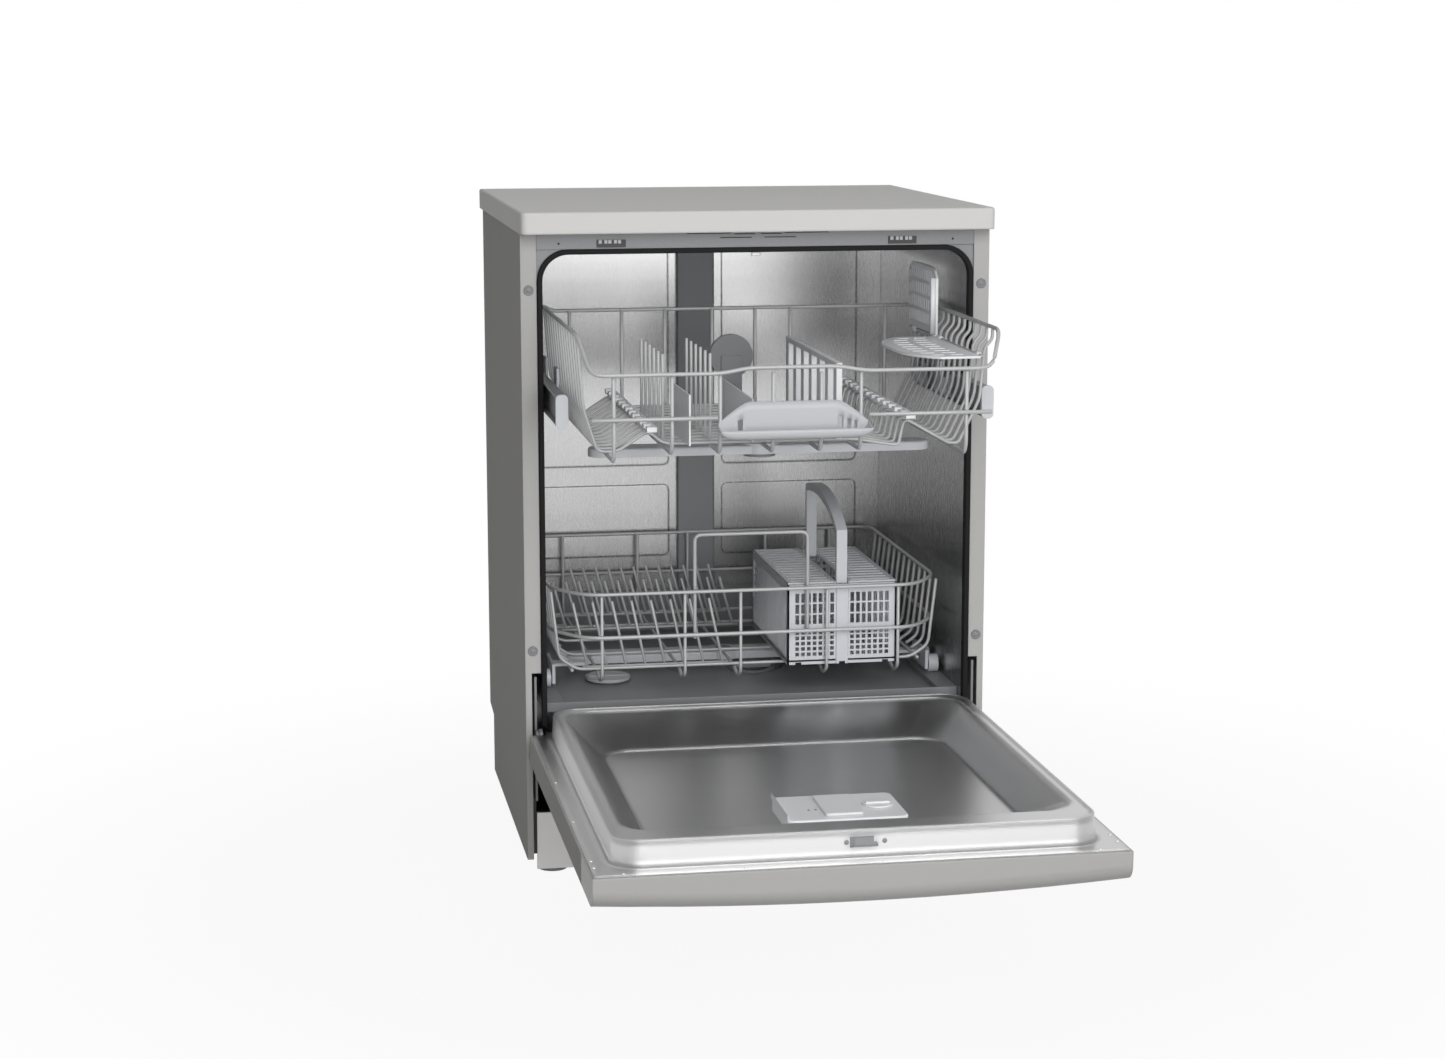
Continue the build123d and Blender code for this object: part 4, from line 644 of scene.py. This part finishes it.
# %% [markdown]
# ## Frame corners
# Above the round corners of the opening, sheet steel fills the space between the gasket and the square
# corner behind the post. A flat plate with a round cut would do. Here the sheet runs from the arc
# straight out to the corner, so that its inner edge follows the gasket exactly.

# %% Frame corners and plugs
ARCH_X, ARCH_Z, ARCH_RADIUS = 239.0, 764.0, 38.6
CORNER_X, CORNER_Z, CORNER_Y = 39.3, 38.8, 2.4


def corner_fill(side):
    """A corner of the front frame: at angle u, from the gasket's arc out to the corner behind the post."""
    def shape(u, v):
        out = np.stack([np.cos(u), np.sin(u)])
        to_corner = np.minimum(CORNER_X / np.maximum(out[0], 1e-6), CORNER_Z / np.maximum(out[1], 1e-6))
        reach = np.maximum(ARCH_RADIUS + 0.01, to_corner)
        radius = ARCH_RADIUS + (reach - ARCH_RADIUS) * v
        return side * (ARCH_X + radius * out[0]), np.full_like(u, CORNER_Y), ARCH_Z + radius * out[1]
    turn = np.linspace(0, math.pi / 2, 19)
    points, faces = lattice(turn, (0, 1), [], [], shape)
    return points, faces if side < 0 else faces[:, ::-1]


piece("frame_corners", [corner_fill(-1), corner_fill(1)], "cabinet",
      finishes["plated_steel"], smooth=False, thickness=0.8)
plugs = piece("ringed_plugs", rings, "cabinet", finishes["mid_grey_plastic"])
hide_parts("frame_plugs")

# %% [markdown]
# ## Door trim
# The front of the door's rim carries the latch plate between two screws, rivets hold the liner's flange,
# and the dispenser has a raised left edge and two dots. They lie on a sloping wall or on flat sheet. So
# each is made square first, and one function leans the latch pieces back with the wall.

# %% Latch and rivets
FLANGE_Z, RIM_FRONT, RIM_HEIGHT, RIM_LEAN = 192.0, -611.0, 30.0, 4.0


def on_rim(points):
    """Push points that stand in front of the rim's foot back along its sloping front wall."""
    moved = np.array(points, float)
    moved[:, 1] += RIM_LEAN * (moved[:, 2] - FLANGE_Z) / RIM_HEIGHT
    return moved


frame_points, frame_faces = blocks([(-9.5, 18, RIM_FRONT - 0.9, RIM_FRONT, 203.4, 215.4)])
plate_points, plate_faces = blocks([(-8, 16.5, RIM_FRONT - 1.0, RIM_FRONT - 0.5, 204.8, 214)])
piece("latch_frame", [(on_rim(frame_points), frame_faces)], "door",
      finishes["plated_steel"], smooth=False)
piece("latch_plate", [(on_rim(plate_points), plate_faces)], "door",
      finishes["mid_grey_plastic"], smooth=False)
head = [(0.3, 0), (3.6, 0), (3.4, 0.7), (2.2, 1.3), (0.3, 1.6)]
screws = [turned(head, (x, RIM_FRONT, 209.5), FORWARD, 16) for x in (-17.0, 25.0)]
piece("latch_screws", [(on_rim(p), f) for p, f in screws], "door", finishes["plated_steel"])
# Lighter than the liner steel round them: painted highlight for the rivets' small glints.
rivet_steel_painted_glint = finish("rivet_steel_painted_glint", (0.75, 0.75, 0.75), 0.3, metal=1.0, fineness=900, tint=0.06, edge=0.0003)
rivet = [(0.2, 0), (2.0, 0), (1.7, 0.5), (0.9, 0.8), (0.2, 0.9)]
spots = [(s * 289, y) for s in (-1, 1) for y in (-600, -575, -420, -250)]
spots += [(x, -627) for x in (-261, -130, 20, 150, 261)]
rivets = [turned(rivet, (x, y, FLANGE_Z), UPWARD, 12) for x, y in spots]
piece("flange_rivets", rivets, "door", rivet_steel_painted_glint)

# %% Dispenser edge and dots
DISPENSER_LEFT, DISPENSER_TOP = -56.0, 199.0
EDGE_WIDTH, EDGE_POINTS = 1.5, 10
bow = np.linspace(0, 1, EDGE_POINTS)
outline = np.column_stack([DISPENSER_LEFT + EDGE_WIDTH * bow, np.zeros(EDGE_POINTS),
                           DISPENSER_TOP - 0.1 + 6.8 * np.sqrt(1 - bow ** 1.6)])
sunk = DISPENSER_TOP - 0.5
outline = np.concatenate([outline, [(DISPENSER_LEFT + EDGE_WIDTH, 0, sunk), (DISPENSER_LEFT, 0, sunk)]])
wing = np.concatenate([outline + (0, y, 0) for y in (-482, -384)])
piece("dispenser_wing", [(wing, tube_faces(2, len(outline)))], "door", pale_moulding_and_painted_light,
      smooth=False)
dot = [(0.2, 0), (1.7, 0), (1.7, 0.2), (0.2, 0.2)]
dots = [turned(dot, (x, -443, DISPENSER_TOP), UPWARD, 12) for x in (-24.0, -16.0)]
piece("dispenser_dots", dots, "door", finishes["mid_grey_plastic"])

# %% [markdown]
# ## Studio
# The photograph has a plain white ground. More light would whiten the ground but would bleach the object
# too. So the floor and the world look white only to the camera and in shiny surfaces. One big soft lamp
# lights the front, a weak one stands on the right, and the left side stays in half shade.

# %% Camera
CAMERA_PLACE, FOCAL_PIXELS, PHOTO_WIDTH = (-644.4, -3427.6, 1056.7), 2783.04, 1445
yaw, pitch, roll = (math.radians(a) for a in (9.914, 9.962, -0.035))
forward = np.array([math.sin(yaw) * math.cos(pitch), math.cos(yaw) * math.cos(pitch), -math.sin(pitch)])
right = np.array([math.cos(yaw), -math.sin(yaw), 0.0])
up = np.cross(right, forward)
right, up = math.cos(roll) * right + math.sin(roll) * up, -math.sin(roll) * right + math.cos(roll) * up
camera = bpy.data.objects.new("camera", bpy.data.cameras.new("camera"))
bpy.context.scene.collection.objects.link(camera)
place = np.eye(4)
place[:3, 0], place[:3, 1], place[:3, 2] = right, up, -forward
place[:3, 3] = metres(CAMERA_PLACE)
camera.matrix_world = Matrix(place.tolist())
camera.data.sensor_width = 36.0
camera.data.lens = camera.data.sensor_width * FOCAL_PIXELS / PHOTO_WIDTH
camera.data.clip_end = 50
bpy.context.scene.camera = camera
print("lens", round(camera.data.lens, 2), "mm")


# %% Lamps
def lamp(name, place, target, size, power):
    """A square area lamp at a place, turned towards a target."""
    data = bpy.data.lights.new(name, "AREA")
    data.size, data.energy = size, power
    made = bpy.data.objects.new(name, data)
    bpy.context.scene.collection.objects.link(made)
    back = np.array(place, float) - np.array(target, float)
    back /= np.linalg.norm(back)
    side = np.cross((0, 0, 1), back)
    side /= np.linalg.norm(side)
    turn = np.eye(4)
    turn[:3, 0], turn[:3, 1], turn[:3, 2], turn[:3, 3] = side, np.cross(back, side), back, place
    made.matrix_world = Matrix(turn.tolist())
    print(f"{name}: {size} m wide, {power} W")


lamp("front_lamp", (0.15, -3.2, 1.65), (0, 0, 0.45), 3.3, 106)
lamp("right_lamp", (2.8, -1.2, 1.5), (0, 0, 0.5), 1.4, 2)


# %% Floor
def seen_directly(tree):
    """One for rays from the camera, off shiny surfaces and through clear things, otherwise zero."""
    path = node(tree, "ShaderNodeLightPath")
    seen = math_node(tree, "MAXIMUM", path.outputs["Is Camera Ray"], path.outputs["Is Glossy Ray"])
    return math_node(tree, "MAXIMUM", seen, path.outputs["Is Transmission Ray"])


def white_ground(name, near, far, start, end):
    """A matt ground that looks white when seen directly; the share of white grows with the distance."""
    made = bpy.data.materials.new(name)
    made.use_nodes = True
    tree = made.node_tree
    shader = tree.nodes["Principled BSDF"]
    shader.inputs["Roughness"].default_value = 0.9
    shader.inputs["Base Color"].default_value = (0.36, 0.36, 0.36, 1)
    glow = node(tree, "ShaderNodeEmission", Strength=1.0)
    place = node(tree, "ShaderNodeTexCoord")
    away = node(tree, "ShaderNodeVectorMath", operation="LENGTH")
    tree.links.new(place.outputs["Object"], away.inputs[0])
    share = node(tree, "ShaderNodeMapRange", interpolation_type="SMOOTHSTEP", From_Min=start, From_Max=end,
                 To_Min=near, To_Max=far)
    tree.links.new(away.outputs["Value"], share.inputs["Value"])
    blend = node(tree, "ShaderNodeMixShader")
    tree.links.new(math_node(tree, "MULTIPLY", seen_directly(tree), share.outputs[0]), blend.inputs[0])
    tree.links.new(shader.outputs[0], blend.inputs[1])
    tree.links.new(glow.outputs[0], blend.inputs[2])
    tree.links.new(blend.outputs[0], tree.nodes["Material Output"].inputs["Surface"])
    return made


ground = bpy.data.meshes.new("ground")
ground.from_pydata([(-30, -30, 0), (30, -30, 0), (30, 30, 0), (-30, 30, 0)], [], [(0, 1, 2, 3)])
ground.materials.append(white_ground("white_ground", 0.93, 1.0, 0.5, 1.4))
floor = bpy.data.objects.new("ground", ground)
bpy.context.scene.collection.objects.link(floor)
print("floor:", len(ground.polygons), "face")

# %% World
world = bpy.data.worlds.new("studio")
bpy.context.scene.world = world
world.use_nodes = True
tree = world.node_tree
sky = tree.nodes["Background"]
sky.inputs["Color"].default_value = (1, 1, 1, 1)
direction = node(tree, "ShaderNodeSeparateXYZ")
tree.links.new(node(tree, "ShaderNodeTexCoord").outputs["Generated"], direction.inputs[0])
side_light = node(tree, "ShaderNodeMapRange", From_Min=-0.5, From_Max=0.3, To_Min=0.08, To_Max=0.36)
tree.links.new(direction.outputs["X"], side_light.inputs["Value"])
strength = math_node(tree, "MAXIMUM", seen_directly(tree), side_light.outputs[0])
tree.links.new(strength, sky.inputs["Strength"])
bpy.context.scene.view_settings.view_transform = "Standard"
print("world:", len(tree.nodes), "nodes")
